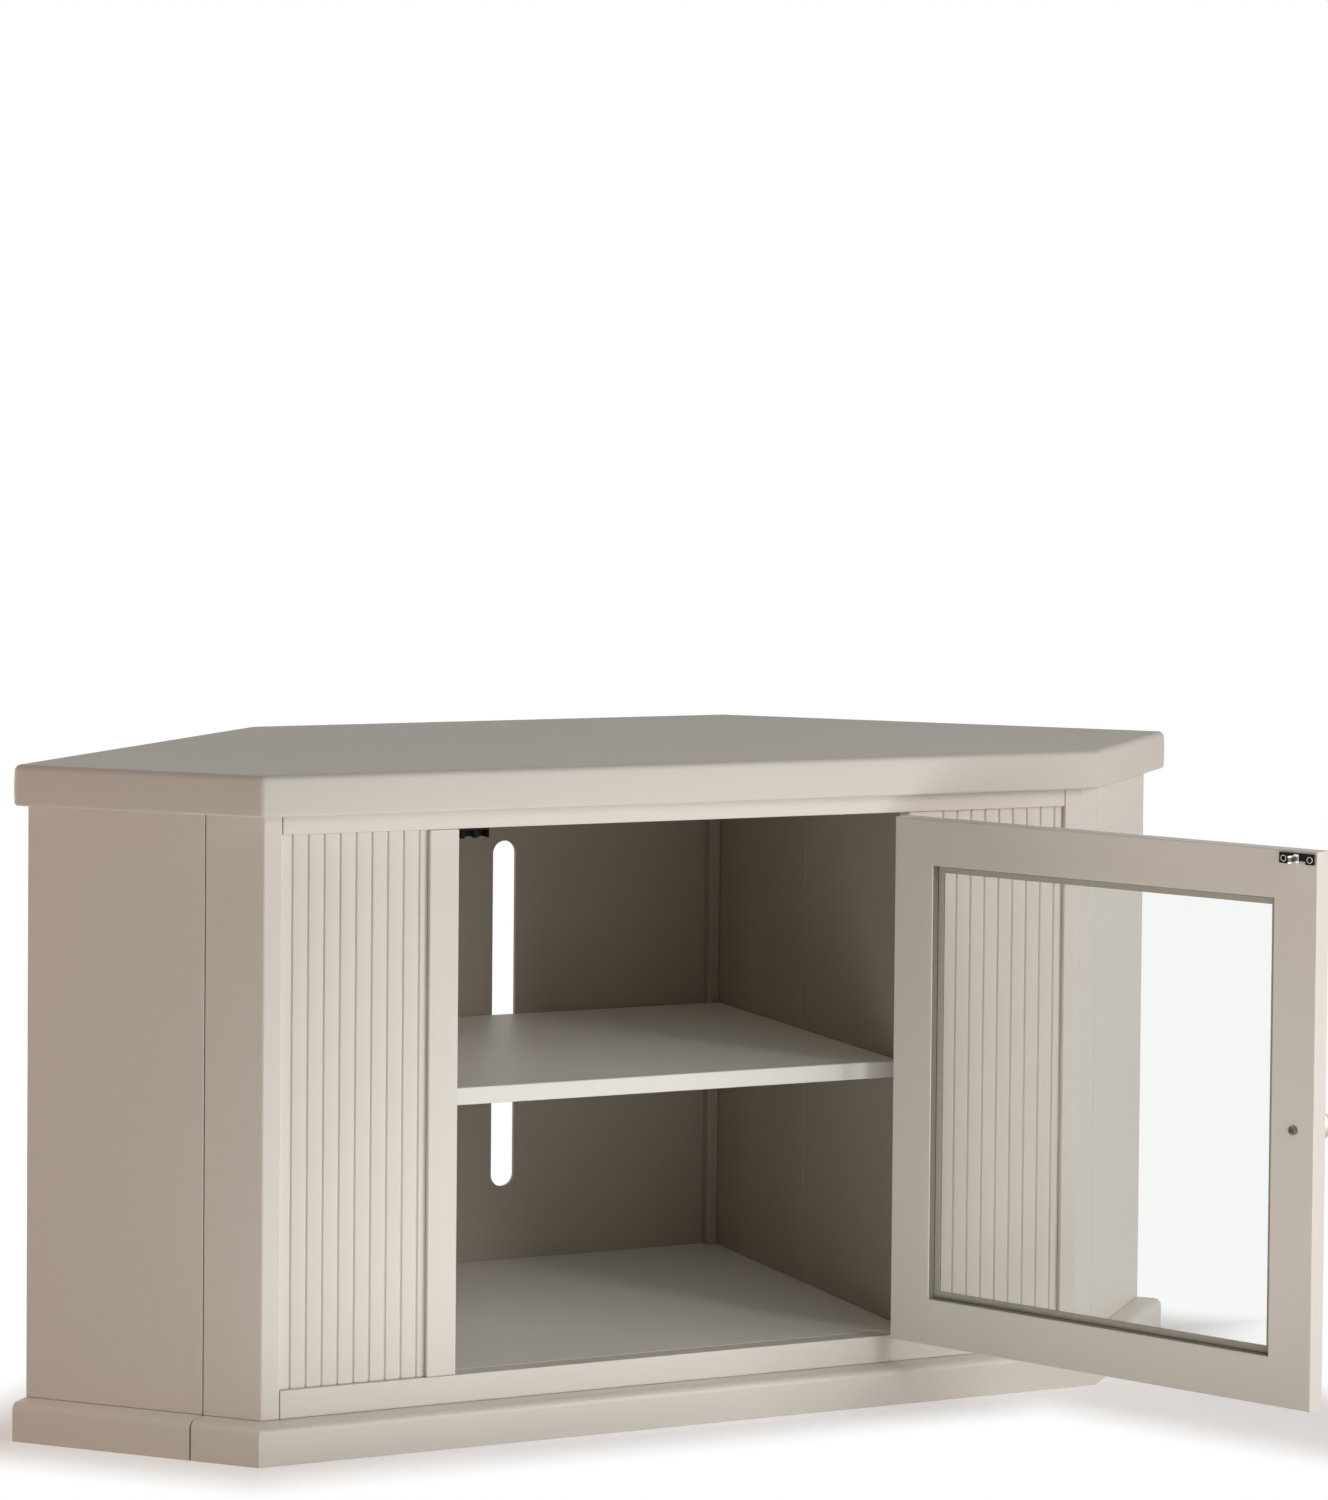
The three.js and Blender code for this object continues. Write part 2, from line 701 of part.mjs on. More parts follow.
// Door stiles and rails, rabbeted on the outer side for the glass
function addDoorFrame() {
  const rabbetFloor = doorThickness - doorInnerLip;
  const rabbetZone = (x0, x1) => block(
    x0, x1, -overrun, rabbetFloor, paneLow - rabbetWidth, paneHigh + rabbetWidth,
  );
  const stile = (hand) => {
    const outline = rectangle(paneHalf, doorHalf, 0, doorThickness);
    return board(handed(outline, hand), doorLow, doorHigh);
  };
  const pockets = Object.values(hingePlaces).map((height) => leafPocket(height, -1));
  const hingeRabbet = rabbetZone(paneHalf - overrun, paneHalf + rabbetWidth);
  addDoorPiece("door_hinge_stile", cut(stile(1), hingeRabbet, ...pockets), ivoryPaint);
  const screwHole = rod(screwHoleRadius, -overrun, doorThickness + overrun)
    .rotateX(-Math.PI / 2)
    .translate(knobX, 0, knobZ);
  const freeRabbet = rabbetZone(-paneHalf - rabbetWidth, -paneHalf + overrun);
  addDoorPiece("door_free_stile", cut(stile(-1), freeRabbet, screwHole), ivoryPaint);
  const railHalf = paneHalf - fit;
  const railOutline = rectangle(-railHalf, railHalf, 0, doorThickness);
  const railRabbet = (z0, z1) => block(-doorHalf, doorHalf, -overrun, rabbetFloor, z0, z1);
  const topRail = cut(
    board(railOutline, paneHigh, doorHigh),
    railRabbet(paneHigh - overrun, paneHigh + rabbetWidth),
  );
  addDoorPiece("door_top_rail", topRail, ivoryPaint);
  const bottomRail = cut(
    board(railOutline, doorLow, paneLow),
    railRabbet(paneLow - rabbetWidth, paneLow + overrun),
  );
  addDoorPiece("door_bottom_rail", bottomRail, ivoryPaint);
}

// Glass pane in the rabbets, and the four beads that hold it from the outer side
function addGlazing() {
  const paneReach = rabbetWidth - fit;
  const glassRear = doorThickness - doorInnerLip - fit;
  const glassFront = glassRear - glassThickness;
  const pane = rectangle(-paneHalf - paneReach, paneHalf + paneReach, glassFront, glassRear);
  addDoorPiece("door_glass", board(pane, paneLow - paneReach, paneHigh + paneReach, 0), clearGlass);
  const seat = glassFront - fit;
  const nose = quarterTurn(beadRound, 0).reverse();
  const section = [
    vec(0, beadSetback),
    ...nose.map((mark) => vec(beadWidth - beadRound + mark.x, beadSetback + beadRound - mark.y)),
    vec(beadWidth, seat),
    vec(0, seat),
  ];
  const outerX = paneHalf + rabbetWidth - fit;
  const lowZ = paneLow - rabbetWidth + fit;
  const highZ = paneHigh + rabbetWidth - fit;
  const upright = (hand) => {
    const outline = section.map((mark) => vec(outerX - mark.x, mark.y)).reverse();
    return board(handed(outline, hand), lowZ + beadWidth + fit, highZ - beadWidth - fit, 0);
  };
  addDoorPiece("glass_bead_hinge_side", upright(1), ivoryPaint);
  addDoorPiece("glass_bead_free_side", upright(-1), ivoryPaint);
  const level = (base, lift) => {
    const rings = [-outerX, outerX].map((x) => section.map(
      (mark) => new THREE.Vector3(x, mark.y, base + lift * mark.x),
    ));
    return loft(lift > 0 ? rings.reverse() : rings, section);
  };
  addDoorPiece("glass_bead_bottom", level(lowZ, 1), ivoryPaint);
  addDoorPiece("glass_bead_top", level(highZ, -1), ivoryPaint);
}

// Knob with a blind bore, and the screw that holds it from inside the door
function addKnob() {
  const headStart = knobFootHeight + knobNeckHeight;
  const knobLength = headStart + knobHeadHeight;
  const headCentre = headStart + knobHeadHeight / 2;
  const dome = Array.from({ length: 2 * roundSteps + 1 }, (_, step) => {
    const angle = -Math.PI / 2 + Math.PI * (step / (2 * roundSteps));
    const swell = knobNeckRadius + (knobHeadRadius - knobNeckRadius) * Math.cos(angle);
    return vec(swell, headCentre + (knobHeadHeight / 2) * Math.sin(angle));
  });
  const profile = [
    vec(0, knobBoreDepth),
    vec(knobBoreRadius, knobBoreDepth),
    vec(knobBoreRadius, fit),
    vec(knobFootRadius, fit),
    vec(knobFootRadius, knobFootHeight),
    ...dome,
    vec(0, knobLength),
  ];
  const knob = turned(profile, turningSteps).rotateX(Math.PI / 2).translate(knobX, 0, knobZ);
  addDoorPiece("door_knob", knob, nickel);
  const seat = doorThickness + fit;
  const screw = turned([
    vec(0, fit - knobScrewGrip),
    vec(knobScrewRadius, fit - knobScrewGrip),
    vec(knobScrewRadius, seat),
    vec(knobScrewHeadRadius, seat),
    vec(knobScrewHeadRadius, seat + knobScrewHeadHeight / 2),
    vec(knobScrewHeadRadius / 2, seat + knobScrewHeadHeight),
    vec(0, seat + knobScrewHeadHeight),
  ]).rotateX(-Math.PI / 2).translate(knobX, 0, knobZ);
  addDoorPiece("knob_screw", screw, nickel);
}

// One leaf of a butt hinge: its plate, its own knuckles round the pin, and its screw heads
function hingeLeaf(height, hand) {
  const low = height - hingeLength / 2;
  const pitch = hingeLength / knuckleCount;
  const near = pinX + hand * leafSpread;
  const far = near + hand * leafThickness;
  const x0 = Math.min(near, far);
  const x1 = Math.max(near, far);
  const plateStart = pinY + knuckleRadius + knuckleRelief;
  const plate = block(x0, x1, plateStart, leafDepth, low, low + hingeLength);
  const parts = [];
  for (let knuckle = hand > 0 ? 0 : 1; knuckle < knuckleCount; knuckle += 2) {
    const z0 = low + knuckle * pitch + knuckleGap / 2;
    const z1 = z0 + pitch - knuckleGap;
    parts.push(sleeve(knuckleRadius, knuckleBore, z0, z1).translate(pinX, pinY, 0));
    const neckStart = pinY + Math.sqrt(knuckleBore ** 2 + leafThickness ** 2);
    parts.push(block(x0, x1, neckStart, plateStart + joinDepth, z0, z1));
  }
  const middle = (plateStart + leafDepth) / 2;
  [low + leafScrewInset, height, low + hingeLength - leafScrewInset].forEach((screwZ) => {
    const rise = hand > 0 ? x0 - leafScrewRise : x1 + leafScrewRise;
    const depth = (x0 + x1) / 2;
    const head = rod(leafScrewRadius, Math.min(rise, depth), Math.max(rise, depth))
      .rotateY(Math.PI / 2)
      .translate(0, middle, screwZ);
    parts.push(head);
  });
  return join(plate, ...parts);
}

function hingePin(height) {
  const low = height - hingeLength / 2;
  const seat = low + hingeLength + fit;
  return turned([
    vec(0, low),
    vec(hingePinRadius, low),
    vec(hingePinRadius, seat),
    vec(hingePinHeadRadius, seat),
    vec(hingePinHeadRadius, seat + hingePinHeadHeight / 2),
    vec(hingePinRadius, seat + hingePinHeadHeight),
    vec(0, seat + hingePinHeadHeight),
  ]).translate(pinX, pinY, 0);
}

function addHinges() {
  Object.entries(hingePlaces).forEach(([place, height]) => {
    addPiece(cabinet, `hinge_${place}_jamb_leaf`, hingeLeaf(height, 1), nickel);
    addPiece(cabinet, `hinge_${place}_pin`, hingePin(height), nickel);
    addDoorPiece(`hinge_${place}_door_leaf`, hingeLeaf(height, -1), nickel);
  });
}

// Strike: a screwed plate on the door with a spear-shaped tongue that the rollers grip
function addStrike() {
  const face = doorThickness + fit;
  const plate = block(
    strikeX - strikeLength / 2, strikeX + strikeLength / 2,
    face, face + strikeThickness,
    strikeZ - strikeHeight / 2, strikeZ + strikeHeight / 2,
  );
  const root = face + strikeThickness / 2;
  const tongueFace = face + strikeThickness;
  const bulbStart = tongueBulbReach - tongueBulb;
  const half = [
    vec(tongueNeck / 2, root),
    vec(tongueNeck / 2, tongueFace + bulbStart),
    vec(tongueBulb / 2, tongueFace + tongueBulbReach - tongueBulb / 2),
    vec(tongueBulb / 2, tongueFace + tongueBulbReach),
    vec(tongueTip / 2, tongueFace + tongueReach),
  ];
  const outline = [...half, ...handed(half, -1)].map((point) => point.add(vec(strikeX, 0)));
  const tongue = board(outline, strikeZ - tongueHeight / 2, strikeZ + tongueHeight / 2, 0);
  const heads = [-1, 1].map((end) => rod(strikeScrewRadius, root, tongueFace + strikeScrewRise)
    .rotateX(-Math.PI / 2)
    .translate(strikeX + end * (strikeLength / 2 - strikeScrewInset), 0, strikeZ));
  addDoorPiece("strike_plate", join(plate, tongue, ...heads), blackSteel);
}

// Catch body: a lipped channel screwed under the front stretcher, closed at both ends
function addCatchBody() {
  const x0 = strikeX - catchLength / 2;
  const x1 = strikeX + catchLength / 2;
  const shell = block(x0, x1, catchFront, catchRear, catchLow, catchTop);
  const hollow = block(
    x0 + catchWall, x1 - catchWall,
    catchFront + catchWall, catchRear - catchWall,
    catchLow + catchWall, catchTop - catchWall,
  );
  const mouth = block(
    x0 + catchWall, x1 - catchWall,
    catchFront + catchWall + catchLip, catchRear - catchWall - catchLip,
    catchLow - overrun, catchTop - catchWall - fit,
  );
  addPiece(cabinet, "catch_body", cut(shell, hollow, mouth), blackSteel);
}

// Jaws that slide apart in the channel, each with the axle of one roller
function addCatchJaws() {
  const middleY = (catchFront + catchRear) / 2;
  const jawTop = catchTop - catchWall - fit;
  const jawLow = catchLow + catchWall + fit;
  const halfWidth = catchWidth / 2 - catchWall - fit;
  const rollerTop = jawLow - fit;
  const rollerLow = rollerTop - rollerLength;
  hands.forEach(({ side, hand }) => {
    const axleX = strikeX + hand * (rollerGap / 2 + rollerRadius);
    const slider = block(
      axleX - jawLength / 2, axleX + jawLength / 2, middleY - halfWidth, middleY + halfWidth, jawLow, jawTop,
    );
    const axle = rod(axleRadius, rollerLow - fit - axleHeadHeight, jawLow + joinDepth)
      .translate(axleX, middleY, 0);
    const head = rod(axleHeadRadius, rollerLow - fit - axleHeadHeight, rollerLow - fit)
      .translate(axleX, middleY, 0);
    addPiece(cabinet, `catch_jaw_${side}`, join(slider, axle, head), blackSteel);
    const roller = sleeve(rollerRadius, rollerBore, rollerLow, rollerTop).translate(axleX, middleY, 0);
    addPiece(cabinet, `catch_roller_${side}`, roller, blackNylon);
  });
}

addPiece(cabinet, "top_slab", topSlab(), ivoryPaint);
addBase();
addPosts();
addOuterPanels();
addBackPanel();
addFloorPanel();
addFrontFrame();
addPiece(cabinet, "beadboard_left", beadboard(-1, leftFirstGroove), ivoryPaint);
addPiece(cabinet, "beadboard_right", beadboard(1, rightFirstGroove), ivoryPaint);
addJambs();
addDividers();
addInnerFrame();
addShelf();
addDoorFrame();
addGlazing();
addKnob();
addHinges();
addStrike();
addCatchBody();
addCatchJaws();

export default cabinet;
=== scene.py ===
"""Looks of a corner media cabinet: its paint, glass and metal, and the fine forms of its pieces.

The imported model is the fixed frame. Its jambs, inner boards, wall panels and plain base rails stay, with
their edges softened and painted, and so do the pane, its beads and the catch's jaws. The slab, the moulded
base, the other boards of the outer face, the door's frame and the fittings are worked out again here as
finer surfaces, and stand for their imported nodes.
Lengths are in metres. The door stands open at rest, so its pieces are drawn on the closed door first.
"""

import json
import logging
import math
from dataclasses import dataclass, field
from enum import Enum
from typing import Any, Callable, Iterable, Sequence

import bpy
import numpy as np
from mathutils import Matrix, Vector


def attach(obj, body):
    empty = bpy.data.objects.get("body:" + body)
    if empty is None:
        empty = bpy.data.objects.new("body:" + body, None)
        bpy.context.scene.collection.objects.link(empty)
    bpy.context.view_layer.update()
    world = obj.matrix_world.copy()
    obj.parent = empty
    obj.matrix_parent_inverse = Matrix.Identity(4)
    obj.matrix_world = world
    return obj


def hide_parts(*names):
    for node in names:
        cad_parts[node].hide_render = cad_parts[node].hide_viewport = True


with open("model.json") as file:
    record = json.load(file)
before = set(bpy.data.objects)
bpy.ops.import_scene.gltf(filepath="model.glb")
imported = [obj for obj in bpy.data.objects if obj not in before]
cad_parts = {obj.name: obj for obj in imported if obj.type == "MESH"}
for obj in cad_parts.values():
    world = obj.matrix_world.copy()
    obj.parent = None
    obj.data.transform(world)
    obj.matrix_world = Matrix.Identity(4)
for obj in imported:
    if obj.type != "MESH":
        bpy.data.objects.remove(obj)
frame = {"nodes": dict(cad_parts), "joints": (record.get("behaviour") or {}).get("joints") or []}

LOG = logging.getLogger("cabinet")
MM = 0.001
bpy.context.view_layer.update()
CASE = "case"
DOOR = "door"
Colour = tuple[float, float, float]
WHITE = (1.0, 1.0, 1.0, 1.0)
MIRROR = Matrix.Diagonal((-1.0, 1.0, 1.0, 1.0))


# Shader graphs


class Shade:
    """A shader socket or a number, on which arithmetic adds Math nodes to its graph."""

    def __init__(self, graph: "Graph", value: Any) -> None:
        """Holds the graph and the socket or number."""
        self.graph = graph
        self.value = value

    def _sum(self, operation: str, first: Any, second: Any) -> "Shade":
        """The Math node of that operation on two values."""
        return self.graph.node("ShaderNodeMath", {"operation": operation}, {0: first, 1: second})

    def __add__(self, other: Any) -> "Shade":
        """This value plus another."""
        return self._sum("ADD", self, other)

    __radd__ = __add__

    def __sub__(self, other: Any) -> "Shade":
        """This value less another."""
        return self._sum("SUBTRACT", self, other)

    def __rsub__(self, other: Any) -> "Shade":
        """Another value less this one."""
        return self._sum("SUBTRACT", other, self)

    def __mul__(self, other: Any) -> "Shade":
        """This value times another."""
        return self._sum("MULTIPLY", self, other)

    __rmul__ = __mul__

    def __abs__(self) -> "Shade":
        """This value without its sign."""
        return self._sum("ABSOLUTE", self, 0.0)

    def at_least(self, other: Any) -> "Shade":
        """The greater of this value and another."""
        return self._sum("MAXIMUM", self, other)

    def at_most(self, other: Any) -> "Shade":
        """The smaller of this value and another."""
        return self._sum("MINIMUM", self, other)


class Graph:
    """A node tree that is filled by calls, each of which adds one node."""

    def __init__(self, tree: bpy.types.NodeTree) -> None:
        """Empties the tree."""
        self.tree = tree
        tree.nodes.clear()

    def node(
        self,
        kind: str,
        settings: dict[str, Any] | None = None,
        inputs: dict[Any, Any] | None = None,
        output: int | str = 0,
    ) -> Shade:
        """Adds one node.

        Args:
            kind: The node's type.
            settings: The node's own properties, set first.
            inputs: Values or links for the input sockets, by index or name.
            output: The socket that is handed back.

        Returns:
            The chosen output, or the node itself where it has none.
        """
        node = self.tree.nodes.new(kind)
        for name, value in (settings or {}).items():
            setattr(node, name, value)
        for key, value in (inputs or {}).items():
            value = value.value if isinstance(value, Shade) else value
            if isinstance(value, bpy.types.NodeSocket):
                self.tree.links.new(value, node.inputs[key])
            else:
                node.inputs[key].default_value = value
        return Shade(self, node.outputs[output] if len(node.outputs) else node)

    def noise(self, where: Shade, scale: float, detail: float = 2.0, roughness: float = 0.5) -> Shade:
        """Noise between 0 and 1 at a number of cells per metre."""
        sockets = {"Vector": where, "Scale": scale, "Detail": detail, "Roughness": roughness}
        return self.node("ShaderNodeTexNoise", None, sockets)

    def stretched(self, where: Shade, scale: Sequence[float]) -> Shade:
        """The place scaled along its three axes, so that a pattern on it runs along one of them."""
        return self.node("ShaderNodeMapping", None, {"Vector": where, "Scale": scale})

    def blend(self, share: Any, first: Any, second: Any) -> Shade:
        """A colour between two by a share."""
        settings = {"data_type": "RGBA", "blend_type": "MIX"}
        return self.node("ShaderNodeMix", settings, {0: share, 6: first, 7: second}, 2)

    def bump(self, height: Shade, distance: float, strength: float, under: Shade | None = None) -> Shade:
        """A normal bent by a height field, over another bent normal where one is given."""
        sockets: dict[Any, Any] = {"Height": height, "Distance": distance, "Strength": strength}
        if under is not None:
            sockets["Normal"] = under
        return self.node("ShaderNodeBump", None, sockets)

    def place(self) -> Shade:
        """The place on the object, in metres."""
        return self.node("ShaderNodeTexCoord", None, None, "Object")

    def along(self, vector: Shade) -> list[Shade]:
        """A vector's three parts."""
        first = self.node("ShaderNodeSeparateXYZ", None, {0: vector})
        return [first] + [Shade(self, first.value.node.outputs[part]) for part in (1, 2)]

    def fade(self, value: Shade, start: float, end: float) -> Shade:
        """0 before the start and 1 past the end, with a soft course between."""
        settings = {"interpolation_type": "SMOOTHSTEP"}
        return self.node("ShaderNodeMapRange", settings, {0: value, 1: start, 2: end, 3: 0.0, 4: 1.0})


def new_graph(name: str) -> tuple[bpy.types.Material, Graph]:
    """A new material and its empty graph."""
    material = bpy.data.materials.new(name)
    material.use_nodes = True
    return material, Graph(material.node_tree)


def tinted(colour: Colour, share: float) -> tuple[float, float, float, float]:
    """A colour made darker or lighter by a share, as a socket takes it."""
    return (colour[0] * share, colour[1] * share, colour[2] * share, 1.0)


# Finishes


class Grain(Enum):
    """The way that the wood under the paint runs, as a stretch of the pattern along X, Y and Z."""

    UPRIGHT = (1.0, 1.0, 0.06)
    ACROSS = (0.06, 1.0, 1.0)
    DEEP = (1.0, 0.06, 1.0)


@dataclass(frozen=True)
class SprayedPaint:
    """Satin paint sprayed over wood: fine orange peel, faint grain below it and a slow drift of tone."""

    name: str
    slot: str
    colour: Colour
    grain: Grain = Grain.UPRIGHT
    gloss: float = 0.42
    specular: float = 0.4
    peel_cells: float = 420.0
    peel_height: float = 0.06 * MM
    grain_cells: float = 260.0
    grain_height: float = 0.05 * MM
    drift: float = 0.022
    drift_cells: float = 5.0
    grain_share: float = 0.3
    rough_peel: float = 0.04
    rough_drift: float = 0.06
    grain_strength: float = 0.35
    peel_strength: float = 0.5

    def build(self) -> bpy.types.Material:
        """The paint's material."""
        material, graph = new_graph(self.name)
        where = graph.place()
        slow = graph.noise(where, self.drift_cells, 3.0)
        along = graph.stretched(where, self.grain.value)
        grain = graph.noise(along, self.grain_cells, 3.0, 0.6)
        peel = graph.noise(where, self.peel_cells, 2.0)
        tone = slow * (1 - self.grain_share) + grain * self.grain_share
        colour = graph.blend(tone, tinted(self.colour, 1 - self.drift), tinted(self.colour, 1 + self.drift))
        evenly = self.gloss - (self.rough_peel + self.rough_drift) / 2
        rough = evenly + peel * self.rough_peel + slow * self.rough_drift
        under = graph.bump(grain, self.grain_height, self.grain_strength)
        normal = graph.bump(peel, self.peel_height, self.peel_strength, under)
        shader = graph.node("ShaderNodeBsdfPrincipled", None, {
            "Base Color": colour,
            "Roughness": rough,
            "Specular IOR Level": self.specular,
            "Normal": normal,
        })
        graph.node("ShaderNodeOutputMaterial", None, {"Surface": shader})
        return material


@dataclass(frozen=True)
class Metal:
    """Bare, plated or blackened metal with fine rubbing marks and faint cloudy tarnish."""

    name: str
    slot: str
    colour: Colour
    metallic: float = 1.0
    gloss: float = 0.3
    cloud: float = 0.12
    specular: float = 0.5
    mark_cells: float = 900.0
    mark_height: float = 0.02 * MM
    mark_strength: float = 0.4
    mark_stretch: tuple[float, float, float] = (1.0, 1.0, 0.15)
    cloud_cells: float = 180.0
    rough_cloud: float = 0.1
    rough_mark: float = 0.08

    def build(self) -> bpy.types.Material:
        """The metal's material."""
        material, graph = new_graph(self.name)
        where = graph.place()
        clouds = graph.noise(where, self.cloud_cells, 4.0, 0.6)
        marks = graph.noise(graph.stretched(where, self.mark_stretch), self.mark_cells, 2.0)
        colour = graph.blend(clouds, tinted(self.colour, 1 - self.cloud), tinted(self.colour, 1 + self.cloud))
        shader = graph.node("ShaderNodeBsdfPrincipled", None, {
            "Base Color": colour,
            "Roughness": self.gloss + clouds * self.rough_cloud + marks * self.rough_mark,
            "Metallic": self.metallic,
            "Specular IOR Level": self.specular,
            "Normal": graph.bump(marks, self.mark_height, self.mark_strength),
        })
        graph.node("ShaderNodeOutputMaterial", None, {"Surface": shader})
        return material


@dataclass(frozen=True)
class MouldedNylon:
    """Dark moulded nylon or rubber with a fine matt skin; the seal's tones on it are painted shade."""

    name: str
    slot: str
    colour: Colour
    gloss: float = 0.45
    specular: float = 0.2
    cloud: float = 0.15
    cloud_cells: float = 220.0
    skin_cells: float = 2600.0
    skin_height: float = 0.02 * MM
    skin_strength: float = 0.5
    rough_skin: float = 0.12

    def build(self) -> bpy.types.Material:
        """The nylon's material."""
        material, graph = new_graph(self.name)
        where = graph.place()
        matt = graph.noise(where, self.skin_cells, 2.0)
        clouds = graph.noise(where, self.cloud_cells, 3.0)
        darker, lighter = tinted(self.colour, 1 - self.cloud), tinted(self.colour, 1 + self.cloud)
        shader = graph.node("ShaderNodeBsdfPrincipled", None, {
            "Base Color": graph.blend(clouds, darker, lighter),
            "Roughness": self.gloss + matt * self.rough_skin,
            "Specular IOR Level": self.specular,
            "Normal": graph.bump(matt, self.skin_height, self.skin_strength),
        })
        graph.node("ShaderNodeOutputMaterial", None, {"Surface": shader})
        return material


@dataclass(frozen=True)
class FloatGlass:
    """Clear window glass: light passes straight through, and more is mirrored towards grazing angles."""

    name: str
    slot: str
    tint: Colour = (0.985, 0.995, 0.99)
    haze: float = 0.02
    index: float = 1.5
    mirror_share: float = 0.8
    smear_cells: float = 9.0
    least_rough: float = 0.01
    rough_smear: float = 0.03

    def build(self) -> bpy.types.Material:
        """The glass's material."""
        material, graph = new_graph(self.name)
        where = graph.place()
        smear = graph.noise(where, self.smear_cells, 3.0, 0.6)
        mirrored = graph.node("ShaderNodeFresnel", None, {"IOR": self.index})
        share = mirrored * self.mirror_share + smear * self.haze
        clear = graph.node("ShaderNodeBsdfTransparent", None, {"Color": (*self.tint, 1.0)})
        sheen = graph.node("ShaderNodeBsdfPrincipled", None, {
            "Base Color": (*self.tint, 1.0),
            "Roughness": smear * self.rough_smear + self.least_rough,
        })
        surface = graph.node("ShaderNodeMixShader", None, {0: share, 1: clear, 2: sheen})
        graph.node("ShaderNodeOutputMaterial", None, {"Surface": surface})
        return material


IVORY: Colour = (0.80, 0.765, 0.70)
# The inner ivory is much darker than the outer ivory: painted shade of the closed compartment.
INNER_IVORY_PAINTED_SHADE: Colour = (0.40, 0.355, 0.295)
PALE: Colour = (0.87, 0.86, 0.82)

FINISHES = {
    "upright paint": SprayedPaint("paint_upright", "ivory_paint", IVORY, Grain.UPRIGHT),
    "level paint": SprayedPaint("paint_level", "ivory_paint", IVORY, Grain.ACROSS),
    "slab paint": SprayedPaint("paint_slab", "ivory_paint", IVORY, Grain.ACROSS, gloss=0.52, specular=0.2),
    "inner paint": SprayedPaint("paint_inner", "inner_paint", PALE, Grain.DEEP, gloss=0.5, specular=0.25),
    "shelf paint": SprayedPaint("paint_shelf", "inner_paint", PALE, Grain.ACROSS, gloss=0.45, specular=0.3),
    "inner upright paint": SprayedPaint(
        "paint_inner_upright", "inner_paint", INNER_IVORY_PAINTED_SHADE, gloss=0.5, specular=0.25,
    ),
    "glass": FloatGlass("float_glass", "clear_glass"),
    "nickel": Metal("dull_nickel", "nickel", (0.56, 0.53, 0.49)),
    # Dark nickel is the knob screw's own colour, and on the strike tongue's core it is painted reflection.
    "dark nickel": Metal("aged_nickel", "nickel", (0.16, 0.14, 0.12), gloss=0.32, cloud=0.2),
    "black steel": Metal("blackened_steel", "black_steel", (0.012, 0.011, 0.010), 0.0, 0.48, specular=0.12),
    # Bright steel is painted highlight on the strike tongue's rims and collar.
    "bright steel": Metal("bright_steel", "black_steel", (0.9, 0.88, 0.87), 1.0, 0.3, 0.05),
    "nylon": MouldedNylon("black_nylon", "black_nylon", (0.010, 0.010, 0.009), 0.5, 0.12),
    # The seal's three tones are painted shade of the pane's reveal: a dark wall, a lighter flange, and a
    # near-black groove that is painted shadow in the corner.
    "seal": MouldedNylon("rubber_seal", "black_nylon", (0.30, 0.275, 0.225), 0.5, 0.1),
    "seal flange": MouldedNylon("seal_flange", "black_nylon", (0.52, 0.50, 0.42), 0.5, 0.1),
    "seal groove": MouldedNylon("seal_groove", "black_nylon", (0.08, 0.075, 0.055), 0.5, 0.1),
}


class Wardrobe:
    """Builds each finish once, when it is first asked for."""

    def __init__(self) -> None:
        """Starts with no material."""
        self._built: dict[str, bpy.types.Material] = {}

    def material(self, finish: str) -> bpy.types.Material:
        """The material of a named finish."""
        if finish not in self._built:
            self._built[finish] = FINISHES[finish].build()
        return self._built[finish]

    def dress(self, piece: bpy.types.Object, *finishes: str) -> None:
        """Puts finishes into a piece's material slots.

        A fresh piece has no slots yet. It isn't cleared, since that would set its faces' finish numbers to 0.
        """
        if len(piece.data.materials):
            piece.data.materials.clear()
        for finish in finishes:
            piece.data.materials.append(self.material(finish))


# Places read from the frame


@dataclass(frozen=True)
class Swing:
    """The door's hinge: where its pin stands, and how far the door stands open at rest."""

    pin: tuple[float, float]
    opened: float

    @classmethod
    def read(cls) -> "Swing":
        """Reads the door's joint. Its lower limit is the closed door."""
        joint = next(j for j in frame["joints"] if j["name"] == "door_swing")
        return cls((joint["pos_m"][0], joint["pos_m"][1]), -math.radians(joint["range_deg"][0]))

    def matrix(self) -> Matrix:
        """Carries a point of the closed door to where the open door holds it."""
        pin = Vector((*self.pin, 0.0))
        turn = Matrix.Rotation(self.opened, 4, "Z")
        return Matrix.Translation(pin) @ turn @ Matrix.Translation(-pin)


SWING = Swing.read()


def packed_points(node: str, on_door: bool = False) -> np.ndarray:
    """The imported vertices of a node, drawn back to the closed door where it is on the door."""
    mesh = frame["nodes"][node].data
    points = np.empty(len(mesh.vertices) * 3)
    mesh.vertices.foreach_get("co", points)
    points = points.reshape(-1, 3)
    if on_door:
        back = np.array(SWING.matrix().inverted())
        points = points @ back[:3, :3].T + back[:3, 3]
    return points


@dataclass(frozen=True)
class Span:
    """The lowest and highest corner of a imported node."""

    low: np.ndarray
    high: np.ndarray

    @classmethod
    def of(cls, node: str, on_door: bool = False) -> "Span":
        """Measures a node."""
        points = packed_points(node, on_door)
        return cls(points.min(axis=0), points.max(axis=0))

    @property
    def middle(self) -> np.ndarray:
        """The middle of the box."""
        return (self.low + self.high) / 2

    @property
    def size(self) -> np.ndarray:
        """The box's three edges."""
        return self.high - self.low


def plan_corner(node: str, degrees: float) -> np.ndarray:
    """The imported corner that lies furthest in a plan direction, from +X towards +Y."""
    points = packed_points(node)[:, :2]
    angle = math.radians(degrees)
    return points[np.argmax(points @ np.array([math.cos(angle), math.sin(angle)]))]


# Surfaces


